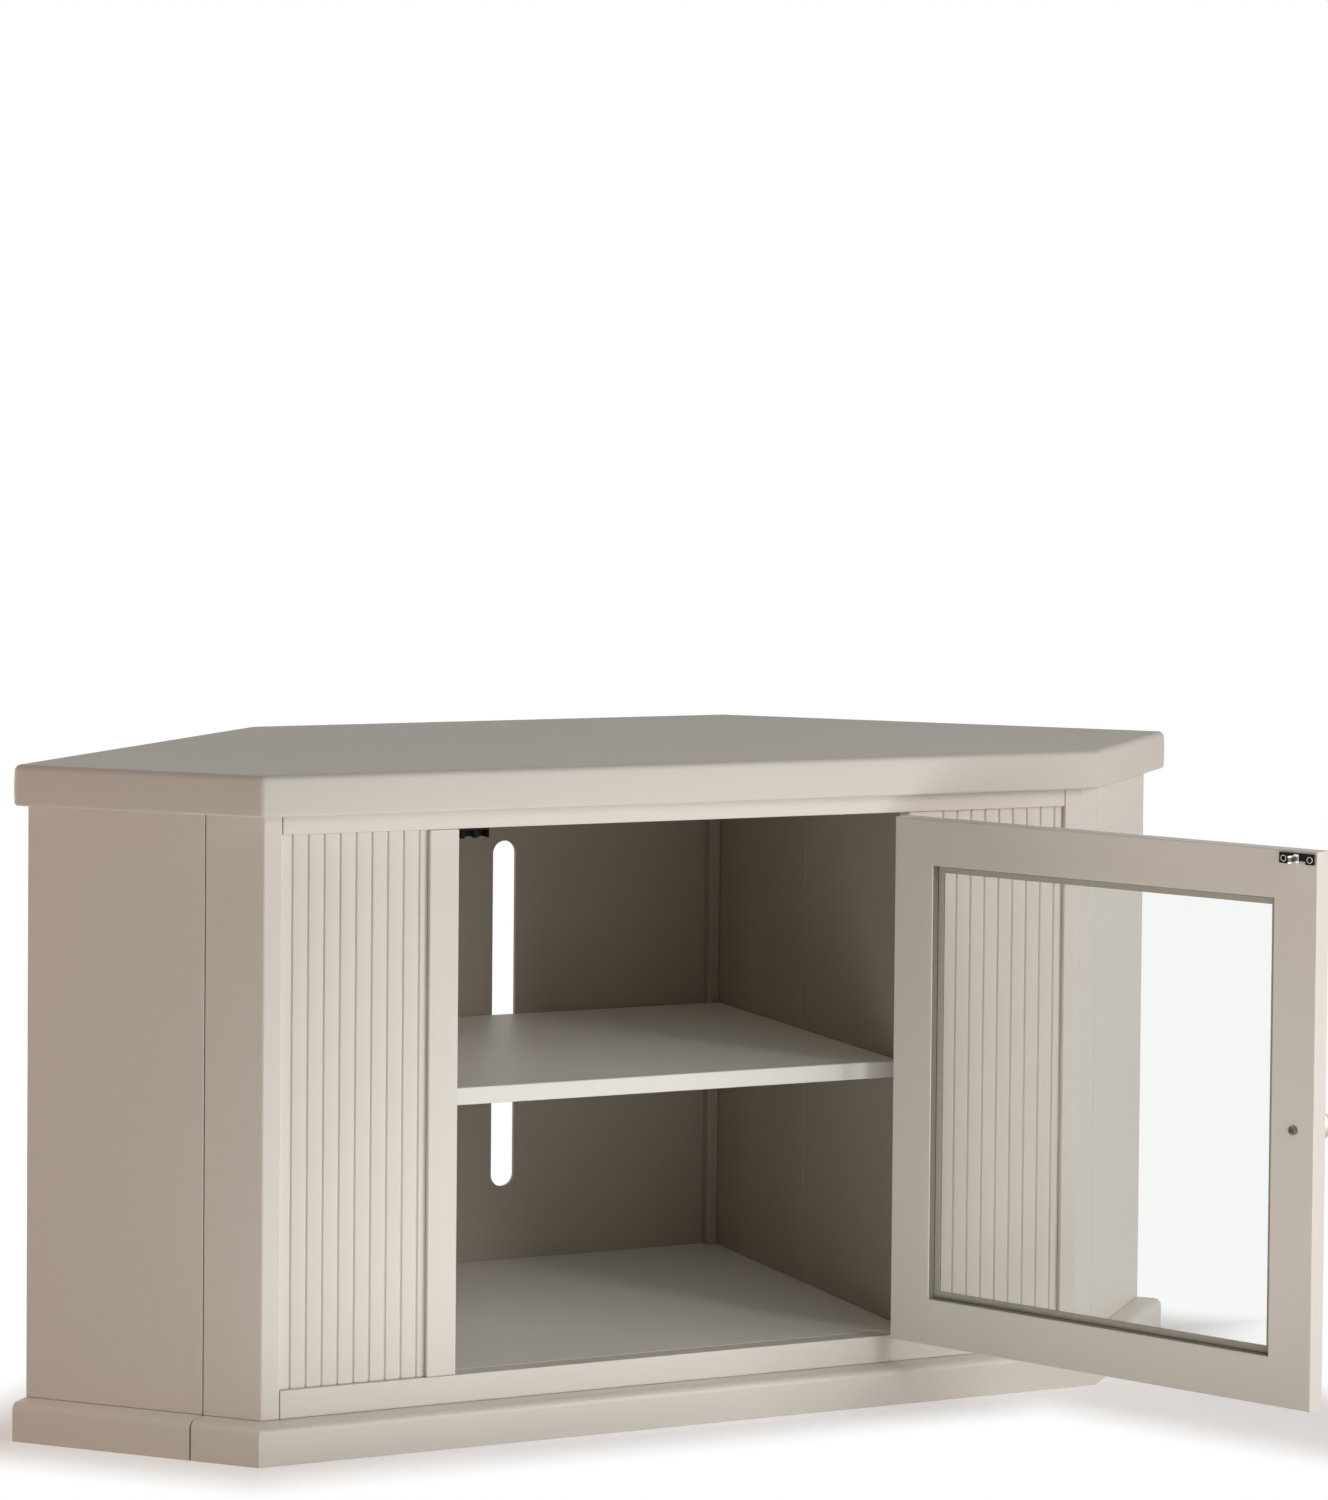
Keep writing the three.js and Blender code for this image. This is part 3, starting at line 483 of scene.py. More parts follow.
@dataclass
class Form:
    """A closed surface: its vertices, its faces, and the finish number of each face."""

    vertices: np.ndarray
    faces: list[list[int]]
    finishes: list[int] = field(default_factory=list)

    def __post_init__(self) -> None:
        """Gives every face the first finish where no list is given."""
        if not self.finishes:
            self.finishes = [0] * len(self.faces)

    def painted(self, finish: int) -> "Form":
        """The form with one finish number on all its faces."""
        return Form(self.vertices, self.faces, [finish] * len(self.faces))

    def moved(self, matrix: Matrix) -> "Form":
        """The form carried by a matrix; a matrix that mirrors turns the faces over as well."""
        table = np.array(matrix)
        vertices = self.vertices @ table[:3, :3].T + table[:3, 3]
        faces = self.faces
        if np.linalg.det(table[:3, :3]) < 0:
            faces = [face[::-1] for face in faces]
        return Form(vertices, faces, self.finishes)

    def __add__(self, other: "Form") -> "Form":
        """Both forms as one."""
        shift = len(self.vertices)
        faces = self.faces + [[corner + shift for corner in face] for face in other.faces]
        vertices = np.vstack([self.vertices, other.vertices])
        return Form(vertices, faces, self.finishes + other.finishes)

    def outwards(self) -> "Form":
        """The form with its faces outwards: turned over where the volume under its fans is below nought.

        The volume is a sixth of the sum, over each face's fan of triangles, of the first corner's dot
        product with the cross product of the other two.
        """
        fans = np.array([
            (face[0], one, two) for face in self.faces for one, two in zip(face[1:-1], face[2:])
        ])
        first, one, two = (self.vertices[fans[:, column]] for column in range(3))
        if np.sum(first * np.cross(one, two)) >= 0:
            return self
        return Form(self.vertices, [face[::-1] for face in self.faces], self.finishes)

    def to_object(self, name: str, crease: float = 35.0) -> bpy.types.Object:
        """Makes the mesh object, smooth up to a crease angle in degrees."""
        mesh = bpy.data.meshes.new(name)
        mesh.from_pydata(self.vertices.tolist(), [], self.faces)
        mesh.polygons.foreach_set("material_index", self.finishes)
        mesh.update()
        mesh.shade_smooth()
        mesh.set_sharp_from_angle(angle=math.radians(crease))
        piece = bpy.data.objects.new(name, mesh)
        bpy.context.scene.collection.objects.link(piece)
        return piece


def skin(rings: np.ndarray, looped: bool = False) -> Form:
    """A skin through rings of points.

    Quads join point i of ring j to point i + 1 and to ring j + 1. The end rings are closed by flat faces,
    or joined to each other where the rings loop.

    Args:
        rings: Rings by points by three coordinates. A ring runs anticlockwise seen from the end.
        looped: Whether the last ring joins the first.

    Returns:
        The closed form.
    """
    count, width = rings.shape[:2]
    vertices = rings.reshape(-1, 3)
    steps = count if looped else count - 1
    ring = np.arange(steps)[:, None] * width
    above = (np.arange(1, steps + 1) % count)[:, None] * width
    here = np.arange(width)[None, :]
    onward = (here + 1) % width
    quads = np.stack([ring + here, ring + onward, above + onward, above + here], axis=-1)
    faces = quads.reshape(-1, 4).tolist()
    if not looped:
        faces.append(list(range(width))[::-1])
        faces.append(list(range((count - 1) * width, count * width)))
    return Form(vertices, faces)


def arc(centre: Sequence[float], radius: float, start: float, end: float, steps: int) -> np.ndarray:
    """Points on a circle: centre plus radius times the cosine and sine of angles in degrees."""
    angles = np.radians(np.linspace(start, end, steps + 1))
    return np.column_stack([centre[0] + radius * np.cos(angles), centre[1] + radius * np.sin(angles)])


def turned(profile: np.ndarray, steps: int = 48, looped: bool = False) -> Form:
    """A turned form round Z: each profile point's radius goes round as cosine and sine, at its height."""
    angles = np.linspace(0, 2 * math.pi, steps, endpoint=False)
    radius = profile[:, :1]
    rings = np.stack([
        radius * np.cos(angles), radius * np.sin(angles), np.repeat(profile[:, 1:], steps, axis=1),
    ], axis=-1)
    return skin(rings, looped)


def rectangle(x0: float, x1: float, y0: float, y1: float) -> np.ndarray:
    """A rectangle's four corners, anticlockwise from the first of both ranges."""
    return np.array([[x0, y0], [x1, y0], [x1, y1], [x0, y1]])


def rounded_outline(
    corners: np.ndarray,
    radius: float | np.ndarray,
    inset: float = 0.0,
    steps: int = 6,
    rest: float = 1.5 * MM,
) -> np.ndarray:
    """An anticlockwise outline with every corner turned into an arc, drawn in by an inset.

    At a corner the arc's centre lies on the bisector, so far in that a circle of the radius touches both
    edges, or out by as much at a hollow corner. Drawing in shortens the arc's radius by the inset, or
    lengthens it at a hollow corner, and keeps its centre. A resting point on each edge beside the arc
    keeps the flat stretch flat.

    Args:
        corners: The sharp corners.
        radius: The arcs' radius before drawing in, one for all corners or one for each.
        inset: How far the outline is drawn in.
        steps: Steps of each arc.
        rest: Distance of the resting points from the arc's ends.

    Returns:
        The outline's points.
    """
    before = np.roll(corners, 1, axis=0)
    after = np.roll(corners, -1, axis=0)
    incoming = (corners - before) / np.linalg.norm(corners - before, axis=1, keepdims=True)
    outgoing = (after - corners) / np.linalg.norm(after - corners, axis=1, keepdims=True)
    first = np.column_stack([incoming[:, 1], -incoming[:, 0]])
    last = np.column_stack([outgoing[:, 1], -outgoing[:, 0]])
    reach = (first + last) / (1 + np.sum(first * last, axis=1, keepdims=True))
    cross = first[:, 0] * last[:, 1] - first[:, 1] * last[:, 0]
    signed = (radius * np.sign(cross))[:, None]
    centres = corners - reach * signed
    start = np.arctan2(first[:, 1], first[:, 0])
    sweep = np.arctan2(cross, np.sum(first * last, axis=1))
    angles = start[:, None] + sweep[:, None] * np.linspace(0, 1, steps + 1)[None, :]
    round_part = (signed - inset)[:, :, None] * np.stack([np.cos(angles), np.sin(angles)], axis=-1)
    bent = centres[:, None, :] + round_part
    lead = bent[:, :1] - incoming[:, None, :] * rest
    trail = bent[:, -1:] + outgoing[:, None, :] * rest
    return np.concatenate([lead, bent, trail], axis=1).reshape(-1, 2)


def lifted(outline: np.ndarray, height: float) -> np.ndarray:
    """A plan outline at one height."""
    return np.column_stack([outline, np.full(len(outline), height)])


def plate(outlines: Callable[[float], np.ndarray], levels: Sequence[tuple[float, float]]) -> Form:
    """A plate whose outline at each height is drawn in by that level's inset."""
    return skin(np.stack([lifted(outlines(inset), height) for inset, height in levels]))


def edge_levels(
    low: float, high: float, lower: float, upper: float, steps: int,
) -> list[tuple[float, float]]:
    """Insets and heights of a plate's edge: a quarter round below and one above.

    In the lower round the inset is the radius less its product with the angle's sine, and the height above
    the foot is the radius less its product with the cosine. In the upper round sine and cosine change
    places, and the height is counted down from the head. A resting level beside each round keeps the flat
    stretches flat.
    """
    rest = 0.25 * MM
    angles = np.linspace(0, math.pi / 2, steps + 1)
    foot = [(lower + rest, low)] + [
        (lower * (1 - math.sin(a)), low + lower * (1 - math.cos(a))) for a in angles
    ]
    head = [(upper * (1 - math.cos(a)), high - upper * (1 - math.sin(a))) for a in angles]
    head.append((upper + rest, high))
    middle = [(0.0, low + lower + rest), (0.0, high - upper - rest)]
    return foot + middle + head


def swept(path: np.ndarray, section: np.ndarray) -> Form:
    """A moulding with mitred corners.

    Each point of the section is an offset and a height. The offset goes outwards along the mitre, which is
    the sum of the two edges' normals over one plus their dot product.
    """
    runs = np.diff(path, axis=0)
    runs /= np.linalg.norm(runs, axis=1, keepdims=True)
    normals = np.column_stack([runs[:, 1], -runs[:, 0]])
    first = np.vstack([normals[:1], normals])
    last = np.vstack([normals, normals[-1:]])
    mitres = (first + last) / (1 + np.sum(first * last, axis=1, keepdims=True))
    plan = path[:, None, :] + mitres[:, None, :] * section[None, :, :1]
    heights = np.broadcast_to(section[None, :, 1:], (len(path), len(section), 1))
    return skin(np.concatenate([plan, heights], axis=-1)[::-1])


def screw_head(radius: float, rise: float, depth: float, recess: float) -> Form:
    """A screw head round +Z with a cross recess in its crown.

    Over the radius r and the angle, the crown's height is rise times one less r squared over the radius
    squared. The recess takes its depth away where either arm of the cross covers the point, with soft
    walls. The head's side goes straight down by the given depth.
    """
    spans = np.concatenate([np.linspace(0.02, 1.0, 22), [1.0]]) * radius
    angles = np.linspace(0, 2 * math.pi, 64, endpoint=False)
    reach, angle = np.meshgrid(spans, angles, indexing="ij")
    x, y = reach * np.cos(angle), reach * np.sin(angle)
    crown = rise * (1 - (reach / radius) ** 2)
    arm = 0.62 * radius
    half = 0.13 * radius
    soft = 0.06 * radius

    def covered(along: np.ndarray, across: np.ndarray) -> np.ndarray:
        """How far one arm covers a point, from 0 to 1, fading over the soft width."""
        lengthwise = np.clip((arm - np.abs(along)) / soft, 0, 1)
        sideways = np.clip((half - np.abs(across)) / soft + 0.5, 0, 1)
        return lengthwise * sideways

    heights = crown - recess * np.maximum(covered(x, y), covered(y, x))
    heights[-1] = -depth
    rings = np.stack([x, y, heights], axis=-1)[::-1]
    return skin(rings)


def facing(direction: Sequence[float], place: Sequence[float], spin: float = 0.0) -> Matrix:
    """Carries a form that stands along +Z so that it stands along a direction at a place."""
    turn = Vector(direction).to_track_quat("Z", "Y").to_matrix().to_4x4()
    return Matrix.Translation(Vector(place)) @ turn @ Matrix.Rotation(spin, 4, "Z")


# Pieces of the cabinet


@dataclass
class Part:
    """A sub-assembly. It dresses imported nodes, and adds fine pieces on the body that is set at the time."""

    wardrobe: Wardrobe
    body: str = CASE
    made: list[str] = field(default_factory=list)
    weld_distance: float = 0.002 * MM
    flat_degrees: float = 0.4
    edge_degrees: float = 25.0

    def add(
        self,
        form: Form,
        name: str,
        *finishes: str,
        nodes: Sequence[str] | None = None,
        crease: float = 35.0,
    ) -> None:
        """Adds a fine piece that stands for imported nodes, by default for the one it is named after.

        Args:
            form: The piece's surface; for the door it is drawn on the closed door.
            name: What the piece is named after: the node that it stands for, unless others are given.
            finishes: The finishes of its faces.
            nodes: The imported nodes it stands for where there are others, or an empty list for added trim.
            crease: The angle in degrees past which an edge stays sharp.
        """
        placed = form.moved(SWING.matrix()) if self.body == DOOR else form
        piece = placed.to_object(f"{name}_fine", crease)
        self.wardrobe.dress(piece, *finishes)
        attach(piece, self.body)
        replaced = (name,) if nodes is None else nodes
        if replaced:
            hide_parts(*replaced)
        self.made.append(piece.name)

    def keep(self, node: str, finish: str, softness: float = 0.35 * MM) -> None:
        """Keeps a packed board: its finish, and its edges rounded by a live bevel.

        Args:
            node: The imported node.
            finish: Its finish.
            softness: Width of the bevel on each edge; 0 leaves the edges sharp.
        """
        board = frame["nodes"][node]
        self.wardrobe.dress(board, finish)
        board.data.shade_smooth()
        weld = board.modifiers.new("weld", "WELD")
        weld.merge_threshold = self.weld_distance
        flat = board.modifiers.new("flat", "DECIMATE")
        flat.decimate_type = "DISSOLVE"
        flat.angle_limit = math.radians(self.flat_degrees)
        if softness > 0:
            bevel = board.modifiers.new("soft_edges", "BEVEL")
            bevel.width = softness
            bevel.segments = 2
            bevel.limit_method = "ANGLE"
            bevel.angle_limit = math.radians(self.edge_degrees)
            bevel.harden_normals = False
        smooth = board.modifiers.new("even_normals", "WEIGHTED_NORMAL")
        smooth.keep_sharp = True
        smooth.weight = 100
        self.made.append(node)

    def build(self) -> None:
        """Builds and dresses the sub-assembly."""
        raise NotImplementedError


@dataclass
class TopSlab(Part):
    """The six-sided top: soft corners, a fuller upper round, a small lower one and a slightly bowed edge."""

    corner_radius: float = 2.0 * MM
    upper_round: float = 6.0 * MM
    lower_round: float = 3.0 * MM
    bow: float = 0.5 * MM
    corner_bearings: tuple[float, ...] = (-67.5, 0, 67.5, 112.5, 180, 247.5)

    def build(self) -> None:
        """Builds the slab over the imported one."""
        span = Span.of("top_slab")
        corners = np.array([plan_corner("top_slab", bearing) for bearing in self.corner_bearings])
        levels = edge_levels(span.low[2], span.high[2], self.lower_round, self.upper_round, 8)
        foot = span.low[2] + self.lower_round
        head = span.high[2] - self.upper_round
        middle = [
            (self.bow * (2 * share - 1) ** 2, foot + (head - foot) * share)
            for share in np.linspace(0, 1, 13)
        ]
        below = [(inset + self.bow, height) for inset, height in levels if height < foot]
        above = [(inset + self.bow, height) for inset, height in levels if height > head]
        profile = below + middle + above

        def outline(inset: float) -> np.ndarray:
            """The slab's outline drawn in by an inset."""
            return rounded_outline(corners, self.corner_radius + self.upper_round, inset, 8)

        self.add(plate(outline, profile), "top_slab", "slab paint")


@dataclass
class BaseMoulding(Part):
    """The plank round the foot, rounded at its upper edge, and the rails under the wall sides and back."""

    nose: float = 7.0 * MM
    arris: float = 0.8 * MM
    frame_width: float = 45.0 * MM
    overhang: float = 24.6 * MM
    seam: float = 1.2 * MM

    def section(self, height: float) -> np.ndarray:
        """The plank's section from its inner foot outwards: a small round at the floor and the nose above."""
        outer, inner = self.overhang, -self.frame_width
        foot = arc((outer - self.arris, self.arris), self.arris, -90, 0, 4)
        nose = arc((outer - self.nose, height - self.nose), self.nose, 0, 90, 12)
        rest = 0.3 * MM
        return np.vstack([
            [[inner, 0.0]], [[outer - self.arris - rest, 0.0]], foot,
            [[outer, self.arris + rest]], [[outer, height - self.nose - rest]],
            nose, [[outer - self.nose - rest, height]], [[inner, height]],
        ])

    def build(self) -> None:
        """Builds the three moulded pieces and paints the rails."""
        section = self.section(Span.of("base_front").high[2])
        share = self.overhang / (self.overhang + self.frame_width)
        flip = np.array([-1.0, 1.0])
        outer_corner = plan_corner("base_front", -67.5)
        corner = outer_corner + self.overhang * np.array([-math.tan(math.pi / 8), 1.0])
        outer_end, inner_end = plan_corner("base_front", 0), plan_corner("base_front", 90)
        if inner_end[0] < 0:
            inner_end = inner_end * flip
        seam = outer_end + (inner_end - outer_end) * share
        half_seam = (seam - corner) / np.linalg.norm(seam - corner) * self.seam / 2
        end = seam - half_seam
        path = np.array([end * flip, corner * flip, corner, end])
        self.add(swept(path, section), "base_front", "level paint")
        near = plan_corner("base_side_right", -90)
        far = plan_corner("base_side_right", 0)
        inward = (inner_end - outer_end) / np.linalg.norm(inner_end - outer_end)
        run = np.array([near + inward * self.overhang + half_seam, far + inward * self.overhang])
        right = swept(run, section)
        self.add(right, "base_side_right", "level paint")
        self.add(right.moved(MIRROR), "base_side_left", "level paint")
        for side in ("left", "right"):
            self.keep(f"base_wall_rail_{side}", "level paint")
        self.keep("base_back_rail", "level paint")


@dataclass
class FaceBoards(Part):
    """The boards that make the cabinet's outer face: bent posts, flared side panels and the two rails.

    Each is a plan outline with small arrises, drawn up between its packed levels. The plan sizes are those
    of the right side, and the left side is its mirror image.
    """

    front_half: float = 411.4 * MM
    post_inner: float = 394.6 * MM
    post_leg: float = 57.2 * MM
    post_thickness: float = 20.0 * MM
    panel_thickness: float = 18.0 * MM
    flare: float = 167.0 * MM
    seam: float = 1.2 * MM
    bend: float = 3.0 * MM
    hollow: float = 1.0 * MM
    arris: float = 0.7 * MM

    def board(self, corners: np.ndarray, radius: float | np.ndarray, span: Span) -> Form:
        """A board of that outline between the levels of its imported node."""
        levels = edge_levels(span.low[2], span.high[2], self.arris, self.arris, 3)
        return plate(lambda inset: rounded_outline(corners, radius, inset, 5, 0.4 * MM), levels)

    def build(self) -> None:
        """Builds both posts, both side panels and both rails."""
        along, outward = math.sqrt(0.5) * np.array([[1.0, 1.0], [1.0, -1.0]])
        corner = np.array([self.front_half, 0.0])
        seam = corner + along * self.post_leg
        rear = corner + along * self.flare * math.sqrt(2)
        near = seam + along * self.seam
        hollow_x = self.front_half - self.post_thickness * math.tan(math.pi / 8)
        post = np.array([
            [self.post_inner, 0.0], corner, seam, seam - outward * self.post_thickness,
            [hollow_x, self.post_thickness], [self.post_inner, self.post_thickness],
        ])
        inward = -outward * self.panel_thickness
        panel = np.array([near, rear, rear + inward, near + inward])
        post_radii = np.array([self.arris, self.bend, self.arris, self.arris, self.hollow, self.arris])
        for name, outline, radii in (("post", post, post_radii), ("side_panel", panel, self.arris)):
            right = self.board(outline, radii, Span.of(f"{name}_right"))
            self.add(right, f"{name}_right", "upright paint")
            self.add(right.moved(MIRROR), f"{name}_left", "upright paint")
        for name in ("header_rail", "bottom_rail"):
            span = Span.of(name)
            outline = rectangle(span.low[0], span.high[0], span.low[1], span.high[1])
            self.add(self.board(outline, self.arris, span), name, "level paint")


@dataclass
class Carcase(Part):
    """Jambs, inner boards and panels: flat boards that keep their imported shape."""

    upright: tuple[str, ...] = ("jamb", "wall_panel", "corner_block")
    inner_upright: tuple[str, ...] = ("divider_front", "divider_rear", "back_batten")
    inner_level: tuple[str, ...] = ("floor_panel", "front_stretcher", "rear_stretcher")
    shelf_softness: float = 1.0 * MM

    def build(self) -> None:
        """Paints every board."""
        for side in ("left", "right"):
            for name in self.upright:
                self.keep(f"{name}_{side}", "upright paint")
            # Dividers, back battens and, below, the back panel take the darker inner ivory, which is painted
            # shade.
            for name in self.inner_upright:
                self.keep(f"{name}_{side}", "inner upright paint")
        for name in self.inner_level:
            self.keep(name, "inner paint")
        self.keep("back_panel", "inner upright paint")
        self.keep("shelf", "shelf paint", self.shelf_softness)


@dataclass
class Beadboards(Part):
    """The two grooved panels: upright grooves of one pitch, counted from the post, with soft lips."""

    pitch: float = 15.0 * MM
    width: float = 2.6 * MM
    depth: float = 1.9 * MM
    first: dict[str, float] = field(default_factory=lambda: {"left": 11.0 * MM, "right": 9.4 * MM})
    post_gap: float = 0.3 * MM
    margin: float = 5.0 * MM
    lip_share: float = 0.62
    narrowing: float = 1.15

    def face(self, span: Span, side: str) -> np.ndarray:
        """The panel's face from the jamb to the post, as places along X and depths behind the face.

        Round each groove the depth follows the cosine of the distance from its middle, raised a little, so
        that the bottom is narrow and the lips are soft.
        """
        reach = np.linspace(-1, 1, 25)
        dip = (0.5 + 0.5 * np.cos(math.pi * reach)) ** self.narrowing * self.depth
        post = max(abs(span.low[0]), abs(span.high[0])) + self.post_gap
        jamb = min(abs(span.low[0]), abs(span.high[0]))
        middles = np.arange(post - self.first[side], jamb + self.margin, -self.pitch)[::-1]
        along = middles[:, None] + reach[None, :] * self.width * self.lip_share
        depths = np.broadcast_to(dip, along.shape)
        return np.column_stack([along.ravel(), depths.ravel()])

    def build(self) -> None:
        """Builds both panels."""
        for side, hand in (("left", -1.0), ("right", 1.0)):
            name = f"beadboard_{side}"
            span = Span.of(name)
            jamb, post = sorted((abs(span.low[0]), abs(span.high[0])))
            face, rear = span.low[1], span.high[1]
            grooves = self.face(span, side)
            front = np.column_stack([grooves[:, 0], face + grooves[:, 1]])
            outline = np.vstack([[[jamb, rear]], [[jamb, face]], front, [[post, face]], [[post, rear]]])
            rings = np.stack([lifted(outline, height) for height in (span.low[2], span.high[2])])
            panel = skin(rings).moved(Matrix.Diagonal((hand, 1.0, 1.0, 1.0)))
            self.add(panel, name, "upright paint", crease=50.0)


@dataclass
class ShelfPins(Part):
    """Four turned pins: a shank in the divider and a rounded collar under the shelf."""

    shank: float = 2.5 * MM
    collar: float = 4.0 * MM
    collar_length: float = 7.7 * MM
    round: float = 0.8 * MM
    pole: float = 0.2 * MM

    def build(self) -> None:
        """Builds the pins along X at their packed places."""
        for place in ("front", "rear"):
            for side, hand in (("left", -1.0), ("right", 1.0)):
                name = f"shelf_pin_{place}_{side}"
                span = Span.of(name)
                tip = span.low[0] if hand > 0 else span.high[0]
                length = span.size[0]
                rim = arc((self.collar - self.round, self.round), self.round, -90, 0, 6)
                profile = np.vstack([
                    [[self.pole, 0.0]], rim,
                    [[self.collar, self.collar_length - self.round]],
                    [[self.collar - self.round / 2, self.collar_length]],
                    [[self.shank, self.collar_length]], [[self.shank, length - self.round]],
                    [[self.shank - self.round, length]],
                ])
                middle = span.middle
                where = facing((hand, 0, 0), (tip, middle[1], middle[2]))
                self.add(turned(profile, 32).moved(where), name, "nickel")


@dataclass
class DoorFrame(Part):
    """The door's frame with its joints filled and painted over, its pane, beads, and a seal in painted shade.
    """

    body: str = DOOR
    member: float = 43.0 * MM
    rabbet: float = 8.0 * MM
    lip: float = 10.0 * MM
    arris: float = 0.9 * MM
    pocket: float = 1.08 * MM
    pocket_depth: float = 17.3 * MM
    pocket_slack: float = 0.3 * MM
    edge: float = 0.05 * MM
    seal_wall: float = 0.55 * MM
    seal_flange: float = 7.0 * MM
    seal_gap: float = 0.15 * MM
    seal_bevel: float = 0.4 * MM
    seal_heights: tuple[float, ...] = (0.8 * MM, 1.1 * MM, 1.3 * MM, 2.0 * MM)
    # Painted shade tones of the seal's faces by section edge: 0 the dark wall, 1 the lighter flange, 2 the
    # near-black groove.
    seal_shade_tones: tuple[int, ...] = (1, 2, 1, 1, 2, 0, 0, 0)

    def section(self, thickness: float) -> np.ndarray:
        """The frame's section: distance in from the door's edge, and depth from its outer face."""
        floor, step = thickness - self.lip, self.member - self.rabbet
        corners = np.array([
            [0.0, 0.0], [step, 0.0], [step, floor],
            [self.member, floor], [self.member, thickness], [0.0, thickness],
        ])
        radii = np.array([1.0, 0.6, 0.3, 0.3, 1.0, 1.0]) * self.arris
        outline = rounded_outline(corners, radii, 0.0, 5, 0.8 * MM)
        walls = [[0.0, self.pocket_depth + self.edge], [0.0, self.pocket_depth - self.edge]]
        return np.vstack([outline, walls])

    @staticmethod
    def carried(rings: Sequence[tuple[np.ndarray, np.ndarray]], depths: np.ndarray) -> Form:
        """A section carried round the door: rings of X and Z places, each point at its own depth along Y."""
        return skin(np.stack([np.column_stack([x, depths, z]) for x, z in rings]), True).outwards()

    def frame_form(self, low: np.ndarray, high: np.ndarray, pockets: Sequence[tuple[float, float]]) -> Form:
        """The section carried round the door.

        At a corner it runs in along the mitre, as much sideways as up or down. At a hinge's pocket, on the
        hinge side, no point lies further out than the pocket's floor, as deep as the leaf reaches.

        Args:
            low: The door's lowest corner.
            high: Its highest corner.
            pockets: The lower and upper end of each pocket, from the top down.

        Returns:
            The closed frame.
        """
        inward, depth = self.section(high[1] - low[1]).T
        cut = np.where(depth < self.pocket_depth, np.maximum(inward, self.pocket), inward)
        plain = np.zeros_like(inward)
        rings = [(low[0] + inward, low[2] + inward), (high[0] - inward, low[2] + inward)]
        for base, head in pockets[::-1]:
            rings += [
                (high[0] - inward, plain + base - self.edge), (high[0] - cut, plain + base + self.edge),
                (high[0] - cut, plain + head - self.edge), (high[0] - inward, plain + head + self.edge),
            ]
        rings += [(high[0] - inward, high[2] - inward), (low[0] + inward, high[2] - inward)]
        return self.carried(rings, low[1] + depth)

    def seal_form(self, low: np.ndarray, high: np.ndarray) -> Form:
        """The pane's seal: an L carried round the opening, flat on the glass and up the frame's inner edge.

        Its tones are painted shade of the reveal. The flange, which lies on the glass, has the second finish,
        a lighter shade, and its edge and root have the third, a near-black painted shadow.
        """
        floor = high[1] - low[1] - self.lip
        wall = self.member + self.edge
        base, head = floor - self.seal_gap, floor + self.lip - 1.2 * self.arris
        rim, inner = wall + self.seal_flange, wall + self.seal_wall
        edge, crest, slope, root = (base + height for height in self.seal_heights)
        section = np.array([
            [wall, base], [rim, base], [rim, edge], [rim - self.seal_bevel, crest],
            [wall + 1.6 * self.seal_wall, slope], [inner, root], [inner, head], [wall, head],
        ])
        inward, depth = section.T
        rings = [
            (low[0] + inward, low[2] + inward), (high[0] - inward, low[2] + inward),
            (high[0] - inward, high[2] - inward), (low[0] + inward, high[2] - inward),
        ]
        form = self.carried(rings, low[1] + depth)
        tones = [self.seal_shade_tones[index % len(section)] for index in range(len(form.faces))]
        return Form(form.vertices, form.faces, tones)

    def build(self) -> None:
        """Builds the frame and its seal, paints the beads and gives the pane its glass."""
        stile, free = Span.of("door_hinge_stile", True), Span.of("door_free_stile", True)
        pockets = []
        for place in ("top", "bottom"):
            leaf = Span.of(f"hinge_{place}_door_leaf", True)
            pockets.append((leaf.low[2] - self.pocket_slack, leaf.high[2] + self.pocket_slack))
        boards = ("door_hinge_stile", "door_free_stile", "door_top_rail", "door_bottom_rail")
        frame_form = self.frame_form(free.low, stile.high, pockets)
        self.add(frame_form, "door_frame", "upright paint", nodes=boards)
        # A dark seal round the pane carries painted shade of the reveal.
        seal_form = self.seal_form(free.low, stile.high)
        self.add(seal_form, "glazing_seal", "seal", "seal flange", "seal groove", nodes=())
        for name in ("hinge_side", "free_side", "bottom", "top"):
            self.keep(f"glass_bead_{name}", "upright paint", 0.0)
        self.keep("door_glass", "glass", 0.0)


